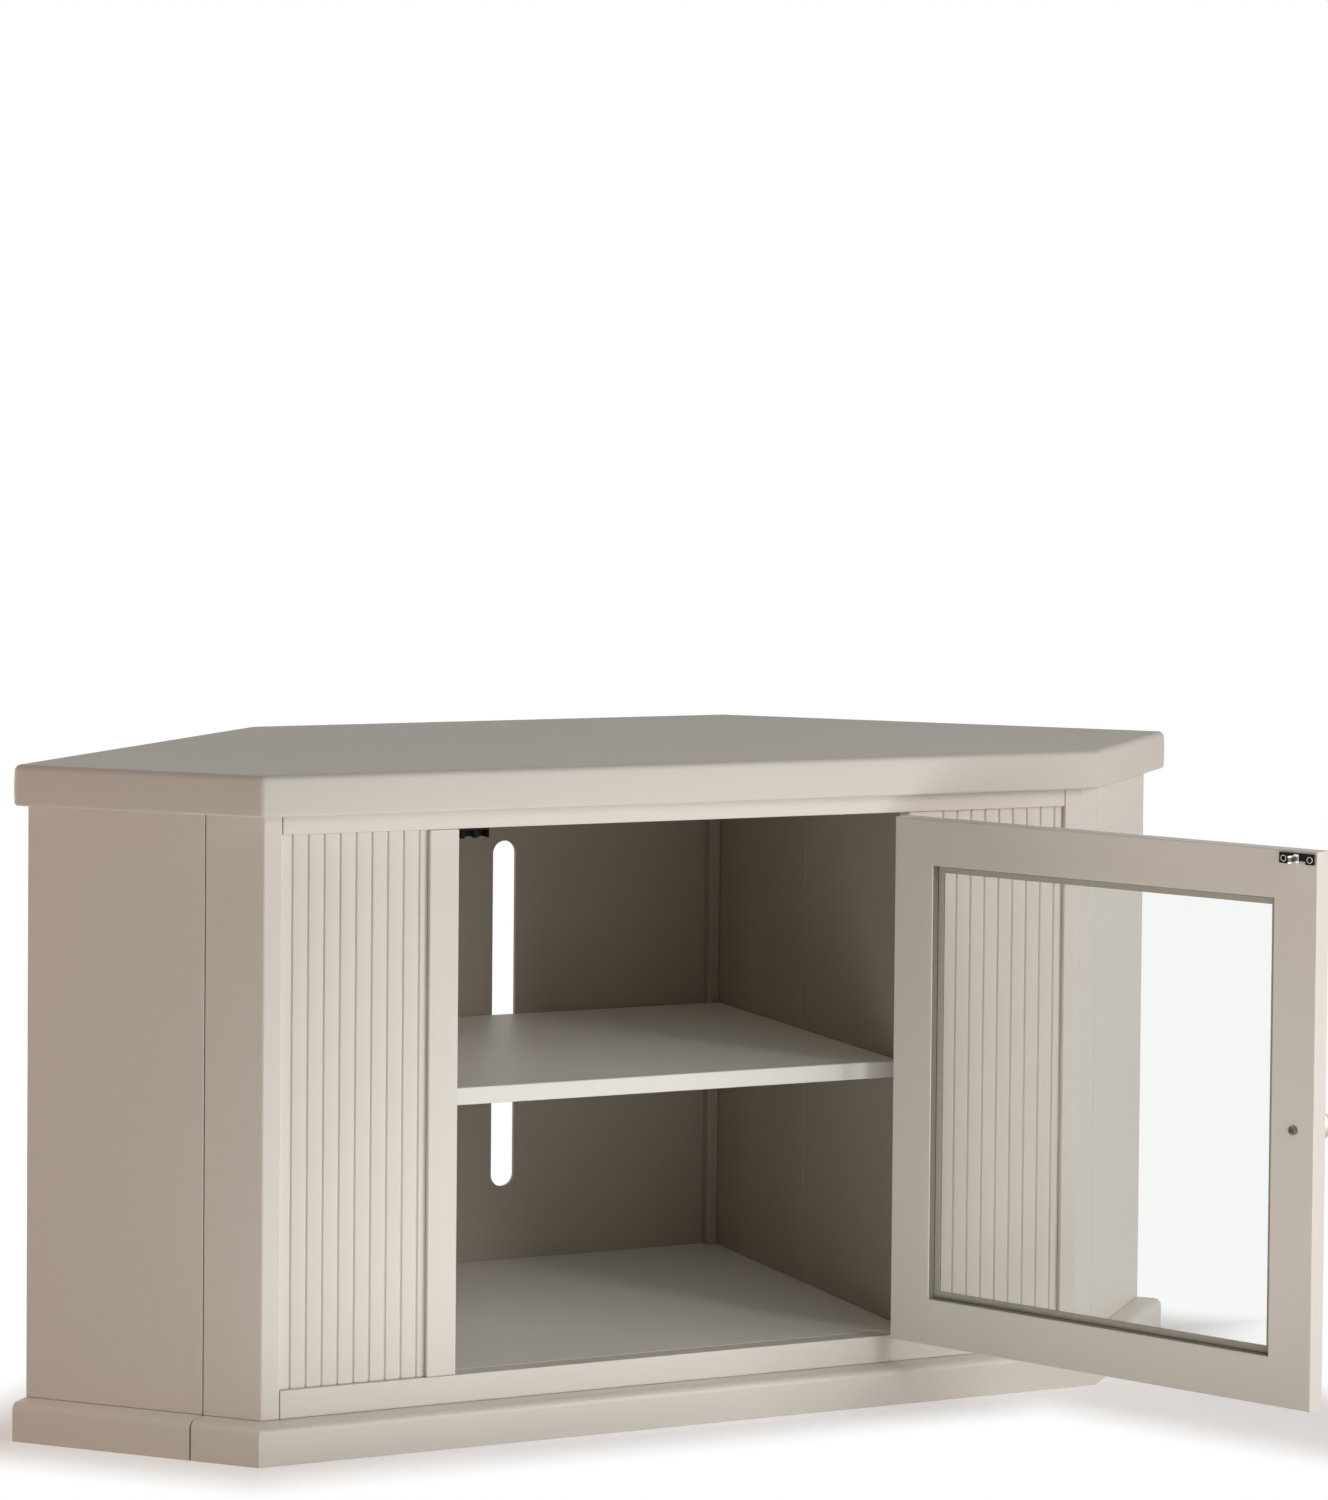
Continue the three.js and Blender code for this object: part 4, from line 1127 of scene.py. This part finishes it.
@dataclass
class KnobSet(Part):
    """The turned knob on the door's outer face, and the screw that holds it from inside."""

    body: str = DOOR
    bore: float = 2.3 * MM
    bore_depth: float = 12.0 * MM
    bore_cone: float = 0.5 * MM
    bore_mouth: float = 0.3 * MM
    foot: float = 7.5 * MM
    neck: float = 4.6 * MM
    head: float = 15.0 * MM
    screw: float = 4.2 * MM
    screw_rise: float = 2.2 * MM
    screw_shank: float = 2.0 * MM
    shank_gap: float = 0.05 * MM
    shank_tip: tuple[float, float] = (0.5 * MM, 0.2 * MM)
    shank_taper: float = 1.2 * MM
    screw_recess: float = 1.3 * MM
    screw_spin: float = 0.6
    crown_share: float = 0.55
    foot_height: float = 3.2 * MM
    foot_rim: float = 0.8 * MM
    foot_middle: float = 1.1 * MM
    pole: float = 0.2 * MM
    waist_share: float = 0.46
    foot_neck_share: float = 0.86
    head_neck_share: float = 0.55
    dome_fullness: float = 0.82
    dome_low: float = 0.42
    dome_span: float = 1.72

    def knob(self, length: float) -> Form:
        """The knob along +Z, from its blind bore over a rounded foot, a waisted neck and a domed head."""
        share = np.linspace(0, 1, 40)
        blend = share * share * (3 - 2 * share)
        waist = length * self.waist_share
        heights = self.foot_height + (waist - self.foot_height) * share
        below = (self.foot * self.foot_neck_share - self.neck) * (1 - blend) ** 2
        above = (self.head * self.head_neck_share - self.neck) * blend ** 5
        crown = np.linspace(-self.dome_low * math.pi, 0.5 * math.pi, 40)
        half = (length - waist) / self.dome_span
        centre = length - half
        radii = self.head * np.cos(crown) ** self.dome_fullness
        dome = np.column_stack([radii, centre + half * np.sin(crown)])
        dome[-1, 0] = self.pole
        profile = np.vstack([
            [[self.pole, self.bore_depth]],
            [[self.bore, self.bore_depth - self.bore_cone]],
            [[self.bore, self.bore_mouth]],
            arc((self.foot - self.foot_rim, self.foot_middle), self.foot_rim, -90, 90, 8),
            np.column_stack([self.neck + below + above, heights]),
            dome,
        ])
        return turned(profile, 72)

    def build(self) -> None:
        """Builds the knob and its screw."""
        knob = Span.of("door_knob", True)
        middle = knob.middle
        placed = self.knob(-knob.low[1]).moved(facing((0, -1, 0), (middle[0], 0.0, middle[2])))
        self.add(placed, "door_knob", "nickel", crease=40.0)
        screw = Span.of("knob_screw", True)
        seat = screw.high[1] - self.screw_rise
        crown = self.screw_rise * self.crown_share
        side = self.screw_rise * (1 - self.crown_share)
        head = screw_head(self.screw, crown, side, self.screw_recess)
        top = seat - screw.low[1] - self.shank_gap
        narrowing, rise = self.shank_tip
        shank = turned(np.array([
            [self.pole, 0.0], [self.screw_shank - narrowing, rise], [self.screw_shank, self.shank_taper],
            [self.screw_shank, top], [self.pole, top],
        ]), 32)
        where = facing((0, 1, 0), (middle[0], seat + side, middle[2]), self.screw_spin)
        placed_head = head.moved(where)
        placed_shank = shank.moved(facing((0, 1, 0), (middle[0], screw.low[1], middle[2])))
        self.add(placed_head + placed_shank, "knob_screw", "dark nickel")


@dataclass
class Hinge(Part):
    """One butt hinge: two leaves with countersunk screws, their knuckles and a headed pin."""

    place: str = "top"
    knuckle: float = 3.6 * MM
    bore: float = 1.9 * MM
    pin: float = 1.6 * MM
    count: int = 5
    gap: float = 0.4 * MM
    leaf: float = 1.2 * MM
    spread: float = 0.35 * MM
    relief: float = 0.6 * MM
    screw: float = 2.9 * MM
    screw_rise: float = 0.12 * MM
    screw_depth: float = 0.3 * MM
    screw_recess: float = 0.9 * MM
    screw_sink: float = 0.08 * MM
    screw_inset: float = 10.0 * MM
    screw_spin: float = 0.4
    screw_twist: float = 40.0
    corner: float = 1.5 * MM
    rim: float = 0.3 * MM
    plate_round: float = 0.15 * MM
    neck_ends: tuple[float, float] = (0.3 * MM, 0.2 * MM)
    pin_tip: float = 0.4 * MM
    pin_rim: float = 0.5 * MM
    pin_crown: float = 1.9 * MM

    def leaf_form(self, span: Span, hand: float) -> Form:
        """A leaf in closed position: its plate with round corners, every second knuckle and three screws."""
        pin_x, pin_y = SWING.pin
        low, high = span.low[2], span.high[2]
        near = pin_x + hand * self.spread
        start = pin_y + self.knuckle + self.relief
        end = span.high[1]
        flat = rectangle(start, end, low, high)

        def outline(inset: float) -> np.ndarray:
            """The plate's outline in Y and Z."""
            return rounded_outline(flat, self.corner, inset, 5, 0.5 * MM)

        sheet = plate(outline, edge_levels(0.0, self.leaf, self.plate_round, self.plate_round, 3))
        swap = Matrix(((0, 0, hand, near), (1, 0, 0, 0), (0, 1, 0, 0), (0, 0, 0, 1)))
        form = sheet.moved(swap)
        pitch = (high - low) / self.count
        for index in range(0 if hand > 0 else 1, self.count, 2):
            z0 = low + index * pitch + self.gap / 2
            z1 = z0 + pitch - self.gap
            profile = np.array([
                [self.bore, z0], [self.knuckle - self.rim, z0], [self.knuckle, z0 + self.rim],
                [self.knuckle, z1 - self.rim], [self.knuckle - self.rim, z1], [self.bore, z1],
            ])
            knuckle = turned(profile, 40, looped=True)
            form = form + knuckle.moved(Matrix.Translation((pin_x, pin_y, 0)))
            neck_front = pin_y + self.bore + self.neck_ends[0]
            neck_rear = start + self.neck_ends[1]
            neck = rectangle(near, near + hand * self.leaf, neck_front, neck_rear)[::int(hand)]
            form = form + skin(np.stack([lifted(neck, z0), lifted(neck, z1)]))
        for height in (low + self.screw_inset, (low + high) / 2, high - self.screw_inset):
            head = screw_head(self.screw, self.screw_rise, self.screw_depth, self.screw_recess)
            seat = (near - hand * self.screw_sink, (start + end) / 2, height)
            spin = self.screw_spin + height * self.screw_twist
            form = form + head.moved(facing((-hand, 0, 0), seat, spin))
        return form

    def build(self) -> None:
        """Builds the three pieces of the hinge."""
        pin_x, pin_y = SWING.pin
        name = f"hinge_{self.place}"
        jamb = Span.of(f"{name}_jamb_leaf")
        self.add(self.leaf_form(jamb, 1.0), f"{name}_jamb_leaf", "nickel", crease=30.0)
        pin = Span.of(f"{name}_pin")
        head = (pin.high[0] - pin.low[0]) / 2
        crown = arc((0.0, 0.0), 1.0, 0, 86, 10) * np.array([head, self.pin_crown])
        seat = jamb.high[2] + self.rim
        profile = np.vstack([
            [[self.pin - self.pin_tip, pin.low[2]]], [[self.pin, pin.low[2] + self.pin_tip]],
            [[self.pin, seat]], [[head, seat]], crown + np.array([0.0, seat + self.pin_rim]),
        ])
        self.add(turned(profile, 40).moved(Matrix.Translation((pin_x, pin_y, 0))), f"{name}_pin", "nickel")
        self.body = DOOR
        leaf = Span.of(f"{name}_door_leaf", True)
        self.add(self.leaf_form(leaf, -1.0), f"{name}_door_leaf", "nickel", crease=30.0)


@dataclass
class Strike(Part):
    """The strike on the door: a pressed plate with two lugs, two rimmed screws and a spear-shaped tongue.

    The tongue is a dull core between two bright rims, and stands in a bright collar. The core's dullness is
    painted reflection, and the rims' and collar's brightness is painted highlight.
    """

    body: str = DOOR
    plate_rise: float = 1.5 * MM
    lug: float = 8.8 * MM
    waist: float = 2.7 * MM
    corner: float = 0.6 * MM
    screw: float = 2.2 * MM
    screw_inset: float = 4.4 * MM
    screw_drop: float = 0.4 * MM
    screw_rise: float = 0.3 * MM
    screw_depth: float = 0.4 * MM
    screw_recess: float = 0.8 * MM
    screw_lift: float = 0.1 * MM
    ring: float = 2.55 * MM
    ring_tube: float = 0.36 * MM
    ring_lift: float = 0.05 * MM
    back_round: float = 0.1 * MM
    face_round: float = 0.35 * MM
    tongue_height: float = 6.5 * MM
    rim: float = 1.3 * MM
    neck: float = 2.2 * MM
    bulb: float = 4.0 * MM
    core_share: float = 0.86
    core_short: float = 0.3 * MM
    rim_round: float = 0.25 * MM
    swell_at: float = 0.74
    swell_width: float = 0.17
    taper_from: float = 0.88
    taper: float = 0.12
    taper_end: float = 0.1201
    collar: tuple[float, float, float] = (5.0 * MM, 1.1 * MM, 7.6 * MM)
    collar_corner: float = 0.7 * MM
    collar_share: float = 0.9
    root_share: float = 0.6
    rim_share: float = 0.8
    finishes: tuple[str, ...] = ("black steel", "bright steel", "dark nickel", "nickel")

    def plate_form(self, span: Span) -> Form:
        """The plate along +Y: its lower edge is drawn up between the two lugs."""
        x0, x1 = span.low[0], span.high[0]
        z0, z1 = span.low[2], span.high[2]
        corners = np.array([
            [x0, z0], [x0 + self.lug, z0], [x0 + self.lug, z0 + self.waist],
            [x1 - self.lug, z0 + self.waist], [x1 - self.lug, z0], [x1, z0], [x1, z1], [x0, z1],
        ])
        return self.pressed(corners, span.low[1], self.plate_rise, self.corner)

    def pressed(self, corners: np.ndarray, base: float, rise: float, corner: float) -> Form:
        """A plate of that outline in X and Z, from the depth of its base along +Y, with a softer face."""
        levels = edge_levels(0.0, rise, self.back_round, self.face_round, 4)
        sheet = plate(lambda inset: rounded_outline(corners, corner, inset, 4, 0.3 * MM), levels)
        return sheet.moved(Matrix(((1, 0, 0, 0), (0, 0, -1, base + rise), (0, 1, 0, 0), (0, 0, 0, 1))))

    def spear(
        self,
        root: float,
        tip: float,
        middle: float,
        share: float,
        levels: Sequence[tuple[float, float]],
    ) -> Form:
        """A spear-shaped plate: a neck that swells into a bulb and closes to a blunt round tip.

        Its half width is the neck's, plus a bell curve round three quarters of its length. Over the last
        eighth it falls off as a quarter of an ellipse, whose end lies just past the tip.

        Args:
            root: Where it starts along Y.
            tip: Where it ends.
            middle: Its middle along X.
            share: Share of the full width.
            levels: Insets and heights.

        Returns:
            The closed spear.
        """
        quarter = np.linspace(0.1, 1.0, 10) * math.pi / 2
        closing = self.taper_from + self.taper * np.sin(quarter)
        along = np.concatenate([np.linspace(0, self.taper_from, 24), closing])
        swell = np.exp(-(((along - self.swell_at) / self.swell_width) ** 2))
        past = np.maximum(along - self.taper_from, 0) / self.taper_end
        half = share * (self.neck + (self.bulb - self.neck) * swell) / 2
        half *= np.sqrt(np.clip(1 - past ** 2, 0, 1))
        side = np.column_stack([middle + half, root + along * (tip - root)])
        other = np.column_stack([middle - half, root + along * (tip - root)])[::-1]

        def outline(inset: float) -> np.ndarray:
            """The spear's outline, drawn towards its middle by the inset."""
            sides = np.vstack([side, other])
            pull = np.clip(1 - inset / np.maximum(np.abs(sides[:, 0] - middle), 0.3 * MM), 0.2, 1)
            return np.column_stack([middle + (sides[:, 0] - middle) * pull, sides[:, 1]])

        return plate(outline, levels)

    def tongue(self, span: Span) -> tuple[Form, Form]:
        """The tongue's core in painted reflection, and its two rims and root collar in painted highlight."""
        root, tip = span.low[1] + self.plate_rise * self.root_share, span.high[1]
        middle = span.middle
        low, high = span.middle[2] - self.tongue_height / 2, span.middle[2] + self.tongue_height / 2
        lap = self.rim * self.rim_share
        core_levels = [(0.0, low + lap), (0.0, high - lap)]
        core = self.spear(root, tip - self.core_short, middle[0], self.core_share, core_levels)
        rims = []
        for base in (low, high - self.rim):
            levels = edge_levels(base, base + self.rim, self.rim_round, self.rim_round, 3)
            rims.append(self.spear(root, tip, middle[0], 1.0, levels))
        width, depth, height = self.collar
        corners = rectangle(
            middle[0] - width / 2, middle[0] + width / 2, middle[2] - height / 2, middle[2] + height / 2,
        )
        seat = span.low[1] + self.plate_rise * self.collar_share
        collar = self.pressed(corners, seat, depth, self.collar_corner)
        return core, rims[0] + rims[1] + collar

    def build(self) -> None:
        """Builds the strike on the closed door."""
        span = Span.of("strike_plate", True)
        core, bright = self.tongue(span)
        number = self.finishes.index
        form = self.plate_form(span)
        top = span.low[1] + self.plate_rise
        turn = np.linspace(0, 2 * math.pi, 12, endpoint=False)
        tube = np.column_stack([self.ring + self.ring_tube * np.cos(turn), self.ring_tube * np.sin(turn)])
        rings = []
        for end in (-1, 1):
            across = span.middle[0] + end * (span.size[0] / 2 - self.screw_inset)
            level = span.middle[2] - self.screw_drop
            head = screw_head(self.screw, self.screw_rise, self.screw_depth, self.screw_recess)
            form = form + head.moved(facing((0, 1, 0), (across, top + self.screw_lift, level), end))
            ring = turned(tube, 36, looped=True)
            rings.append(ring.moved(facing((0, 1, 0), (across, top + self.ring_lift, level))))
        for ring in rings:
            form = form + ring.painted(number("nickel"))
        # On the tongue, the dark nickel core is painted reflection, and the bright steel rims and collar are
        # painted highlight.
        form = form + core.painted(number("dark nickel")) + bright.painted(number("bright steel"))
        self.add(form, "strike_plate", *self.finishes)


@dataclass
class RollerCatch(Part):
    """The double roller catch under the header: a filled housing, two jaws and two rollers."""

    rim: float = 0.5 * MM
    bore: float = 1.4 * MM
    apron: float = 1.2 * MM
    apron_low: float = 543.4 * MM
    corner: float = 0.4 * MM
    arris: float = 0.3 * MM
    jaw_softness: float = 0.1 * MM

    def housing(self, span: Span) -> Form:
        """A filled block under the header, with a cheek at each end and an apron behind the rollers.

        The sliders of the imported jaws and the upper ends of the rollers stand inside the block.
        """
        (x0, y0, z0), (x1, y1, z1) = span.low, span.high
        under = (z0 + z1) / 2
        boxes = (
            (x0, x1, y0, y1, z0, z1),
            (x0, x1, y1 - self.apron, y1, self.apron_low, under),
            (x0, x0 + self.apron, y0, y1 - self.apron / 2, self.apron_low, under),
            (x1 - self.apron, x1, y0, y1 - self.apron / 2, self.apron_low, under),
        )
        forms = [self.block(rectangle(*box[:4]), *box[4:]) for box in boxes]
        return forms[0] + forms[1] + forms[2] + forms[3]

    def block(self, corners: np.ndarray, low: float, high: float) -> Form:
        """A block of that outline between two heights, with soft corners and arrises."""
        levels = edge_levels(low, high, self.arris, self.arris, 3)
        return plate(lambda inset: rounded_outline(corners, self.corner, inset, 4, 0.1 * MM), levels)

    def roller(self, span: Span) -> Form:
        """A roller with rounded rims and a bore."""
        radius, z0, z1 = span.size[0] / 2, span.low[2], span.high[2]
        lower = arc((radius - self.rim, z0 + self.rim), self.rim, -90, 0, 6)
        upper = arc((radius - self.rim, z1 - self.rim), self.rim, 0, 90, 6)
        profile = np.vstack([[[self.bore, z0]], lower, upper, [[self.bore, z1]]])
        return turned(profile, 56, looped=True).moved(Matrix.Translation((span.middle[0], span.middle[1], 0)))

    def build(self) -> None:
        """Builds the housing and the two rollers, each roller on its own body, and dresses the jaws."""
        self.add(self.housing(Span.of("catch_body")), "catch_body", "black steel")
        for side in ("left", "right"):
            self.keep(f"catch_jaw_{side}", "black steel", self.jaw_softness)
            name = f"catch_roller_{side}"
            self.body = f"{side}_roller"
            self.add(self.roller(Span.of(name)), name, "nylon")


# Studio


@dataclass(frozen=True)
class Lamp:
    """A soft rectangular lamp that looks at a point of the cabinet."""

    name: str
    azimuth: float
    elevation: float
    distance: float
    size: float
    power: float
    colour: Colour
    target: tuple[float, float, float] = (0.0, 0.1, 0.3)

    def build(self) -> None:
        """Places the lamp; azimuth 0 stands before the cabinet and grows to its right."""
        side, rise = math.radians(self.azimuth), math.radians(self.elevation)
        aim = Vector((math.sin(side) * math.cos(rise), -math.cos(side) * math.cos(rise), math.sin(rise)))
        data = bpy.data.lights.new(self.name, "AREA")
        data.shape = "SQUARE"
        data.size = self.size
        data.energy = self.power
        data.color = self.colour
        lamp = bpy.data.objects.new(self.name, data)
        bpy.context.scene.collection.objects.link(lamp)
        turn = aim.to_track_quat("Z", "Y").to_matrix().to_4x4()
        lamp.matrix_world = Matrix.Translation(Vector(self.target) + aim * self.distance) @ turn
        lamp.visible_camera = False


@dataclass(frozen=True)
class Studio:
    """White surroundings, a pale floor that keeps the shadow, the lamps and the camera."""

    camera_place: tuple[float, float, float] = (-1.641, -3.626, 0.963)
    camera_yaw: float = -24.16
    camera_pitch: float = 2.0
    camera_roll: float = 0.51
    lens: float = 104.14
    sensor: float = 36.0
    shift: tuple[float, float] = (-0.00933, -0.148)
    floor_half: float = 12.0
    floor_colour: Colour = (0.92, 0.91, 0.90)
    floor_lift: float = 0.28
    floor_cells: float = 1.5
    floor_drift: float = 0.01
    shade_reach: float = 0.11
    shade_front: float = 0.025
    shade_flared: float = 0.315
    shade_wall: float = 0.545
    shade_rear: float = 0.48
    strip_middle: tuple[float, float] = (0.22, 0.17)
    strip_half: tuple[float, float] = (0.22, 0.05)
    side_fade: tuple[float, float] = (-0.7, 0.7)
    rear_fade: tuple[float, float] = (0.1, 0.7)
    upper_fade: tuple[float, float] = (0.1, 0.8)
    left_glow: Colour = (0.11, 0.05, 0.015)
    right_glow: Colour = (0.06, 0.05, 0.04)
    rear_glow: Colour = (0.40, 0.37, 0.34)
    upper_glow: Colour = (0.10, 0.09, 0.08)
    lamps: tuple[Lamp, ...] = (
        Lamp("key", 31.0, 17.0, 3.2, 1.1, 37.0, (1.0, 0.93, 0.905)),
        Lamp("upper", 20.0, 36.0, 3.2, 1.6, 6.0, (0.75, 0.88, 1.0)),
        Lamp("low", 18.0, 2.0, 1.5, 0.8, 4.2, (0.91, 0.97, 1.0), (-0.2, 0.0, 0.02)),
        Lamp("bounce", 0.0, -88.0, 0.5, 0.6, 1.5, (0.94, 0.97, 1.0), (-0.18, -0.42, 0.52)),
        Lamp("left", -110.0, 8.0, 3.2, 1.4, 28.0, (1.0, 0.76, 0.60)),
    )

    def camera(self) -> None:
        """Stands the camera where the view was taken from."""
        angles = (self.camera_yaw, self.camera_pitch, self.camera_roll)
        yaw, pitch, roll = (math.radians(angle) for angle in angles)
        flat = math.cos(pitch)
        forward = Vector((-math.sin(yaw) * flat, math.cos(yaw) * flat, -math.sin(pitch)))
        level = Vector((math.cos(yaw), math.sin(yaw), 0.0))
        upward = level.cross(forward)
        right = level * math.cos(roll) + upward * math.sin(roll)
        up = upward * math.cos(roll) - level * math.sin(roll)
        data = bpy.data.cameras.new("camera")
        data.sensor_width = self.sensor
        data.lens = self.lens
        data.shift_x, data.shift_y = self.shift
        data.clip_end = 100.0
        camera = bpy.data.objects.new("camera", data)
        bpy.context.scene.collection.objects.link(camera)
        turn = Matrix((right, up, -forward)).transposed().to_4x4()
        camera.matrix_world = Matrix.Translation(Vector(self.camera_place)) @ turn
        bpy.context.scene.camera = camera

    @staticmethod
    def seen(graph: Graph) -> Shade:
        """1 where the camera, a mirror or glass looks, and 0 where light is gathered."""
        rays = graph.node("ShaderNodeLightPath", None, None, "Is Camera Ray")
        outputs = rays.value.node.outputs
        found = rays + Shade(graph, outputs["Is Glossy Ray"]) + Shade(graph, outputs["Is Transmission Ray"])
        return found.at_most(1.0)

    def surroundings(self) -> None:
        """White to look at; as light, a warm glow with its own tone to the left, right, rear and above."""
        world = bpy.data.worlds.new("studio")
        bpy.context.scene.world = world
        world.use_nodes = True
        graph = Graph(world.node_tree)
        direction = graph.node("ShaderNodeTexCoord", None, None, "Generated")
        across, deep, height = graph.along(direction)
        glows = (self.left_glow, self.right_glow, self.rear_glow, self.upper_glow)
        left, right, rear, upper = ((*glow, 1.0) for glow in glows)
        before = graph.blend(graph.fade(across, *self.side_fade), left, right)
        level = graph.blend(graph.fade(deep, *self.rear_fade), before, rear)
        glow = graph.blend(graph.fade(height, *self.upper_fade), level, upper)
        colour = graph.blend(self.seen(graph), glow, WHITE)
        background = graph.node("ShaderNodeBackground", None, {"Color": colour, "Strength": 1.0})
        graph.node("ShaderNodeOutputWorld", None, {"Surface": background})

    def clear_of_cabinet(self, graph: Graph, where: Shade) -> Shade:
        """0 on the floor close to the cabinet and in a strip, and 1 further out, where it shows white.

        The strip lies where the door stands at rest, on its outer side, and doesn't follow the door. The
        distance from the cabinet is the greatest of those from its front, flared, wall and rear sides, and
        that from the strip is the greater of those along and across it. The lesser of the two counts.
        """
        across, deep, _ = graph.along(where)
        half = math.sqrt(0.5)
        beside = abs(across)
        front = 0.0 - deep - self.shade_front
        flared = (beside - deep) * half - self.shade_flared
        wall = (beside + deep) * half - self.shade_wall
        away = front.at_least(flared).at_least(wall).at_least(deep - self.shade_rear)
        turn = math.pi - SWING.opened
        aside, down = across - SWING.pin[0], deep - SWING.pin[1]
        lengthwise = aside * math.cos(turn) - down * math.sin(turn) - self.strip_middle[0]
        crosswise = aside * math.sin(turn) + down * math.cos(turn) - self.strip_middle[1]
        strip = (abs(lengthwise) - self.strip_half[0]).at_least(abs(crosswise) - self.strip_half[1])
        return graph.fade(away.at_most(strip), 0.0, self.shade_reach)

    def floor(self) -> None:
        """A wide pale floor; where it is looked at, it is lifted near the cabinet and white further out."""
        half = self.floor_half
        mesh = bpy.data.meshes.new("floor")
        corners = [(-half, -half, 0.0), (half, -half, 0.0), (half, half, 0.0), (-half, half, 0.0)]
        mesh.from_pydata(corners, [], [(0, 1, 2, 3)])
        floor = bpy.data.objects.new("floor", mesh)
        bpy.context.scene.collection.objects.link(floor)
        material, graph = new_graph("pale_floor")
        where = graph.place()
        tone = graph.noise(where, self.floor_cells, 2.0)
        darker = tinted(self.floor_colour, 1 - self.floor_drift)
        lighter = tinted(self.floor_colour, 1 + self.floor_drift)
        colour = graph.blend(tone, darker, lighter)
        seen = self.seen(graph)
        matt = graph.node("ShaderNodeBsdfDiffuse", None, {"Color": colour})
        lift = graph.node("ShaderNodeEmission", None, {"Color": WHITE, "Strength": seen * self.floor_lift})
        near = graph.node("ShaderNodeAddShader", None, {0: matt, 1: lift})
        far = graph.node("ShaderNodeEmission", None, {"Color": WHITE, "Strength": 1.0})
        share = self.clear_of_cabinet(graph, where) * seen
        surface = graph.node("ShaderNodeMixShader", None, {0: share, 1: near, 2: far})
        graph.node("ShaderNodeOutputMaterial", None, {"Surface": surface})
        mesh.materials.append(material)

    def build(self) -> None:
        """Builds the studio."""
        scene = bpy.context.scene
        scene.view_settings.view_transform = "Standard"
        self.camera()
        self.surroundings()
        self.floor()
        for lamp in self.lamps:
            lamp.build()


def parts(wardrobe: Wardrobe) -> Iterable[Part]:
    """The sub-assemblies in the order in which they are built."""
    return (
        TopSlab(wardrobe),
        BaseMoulding(wardrobe),
        FaceBoards(wardrobe),
        Carcase(wardrobe),
        Beadboards(wardrobe),
        ShelfPins(wardrobe),
        DoorFrame(wardrobe),
        KnobSet(wardrobe),
        Hinge(wardrobe, place="top"),
        Hinge(wardrobe, place="bottom"),
        Strike(wardrobe),
        RollerCatch(wardrobe),
    )


def main() -> None:
    """Builds the studio and the cabinet."""
    logging.basicConfig(level=logging.INFO, format="%(name)s: %(message)s")
    Studio().build()
    for part in parts(Wardrobe()):
        part.build()
        for name in part.made:
            LOG.info("%s: %s", type(part).__name__, name)


if __name__ == "__main__":
    main()
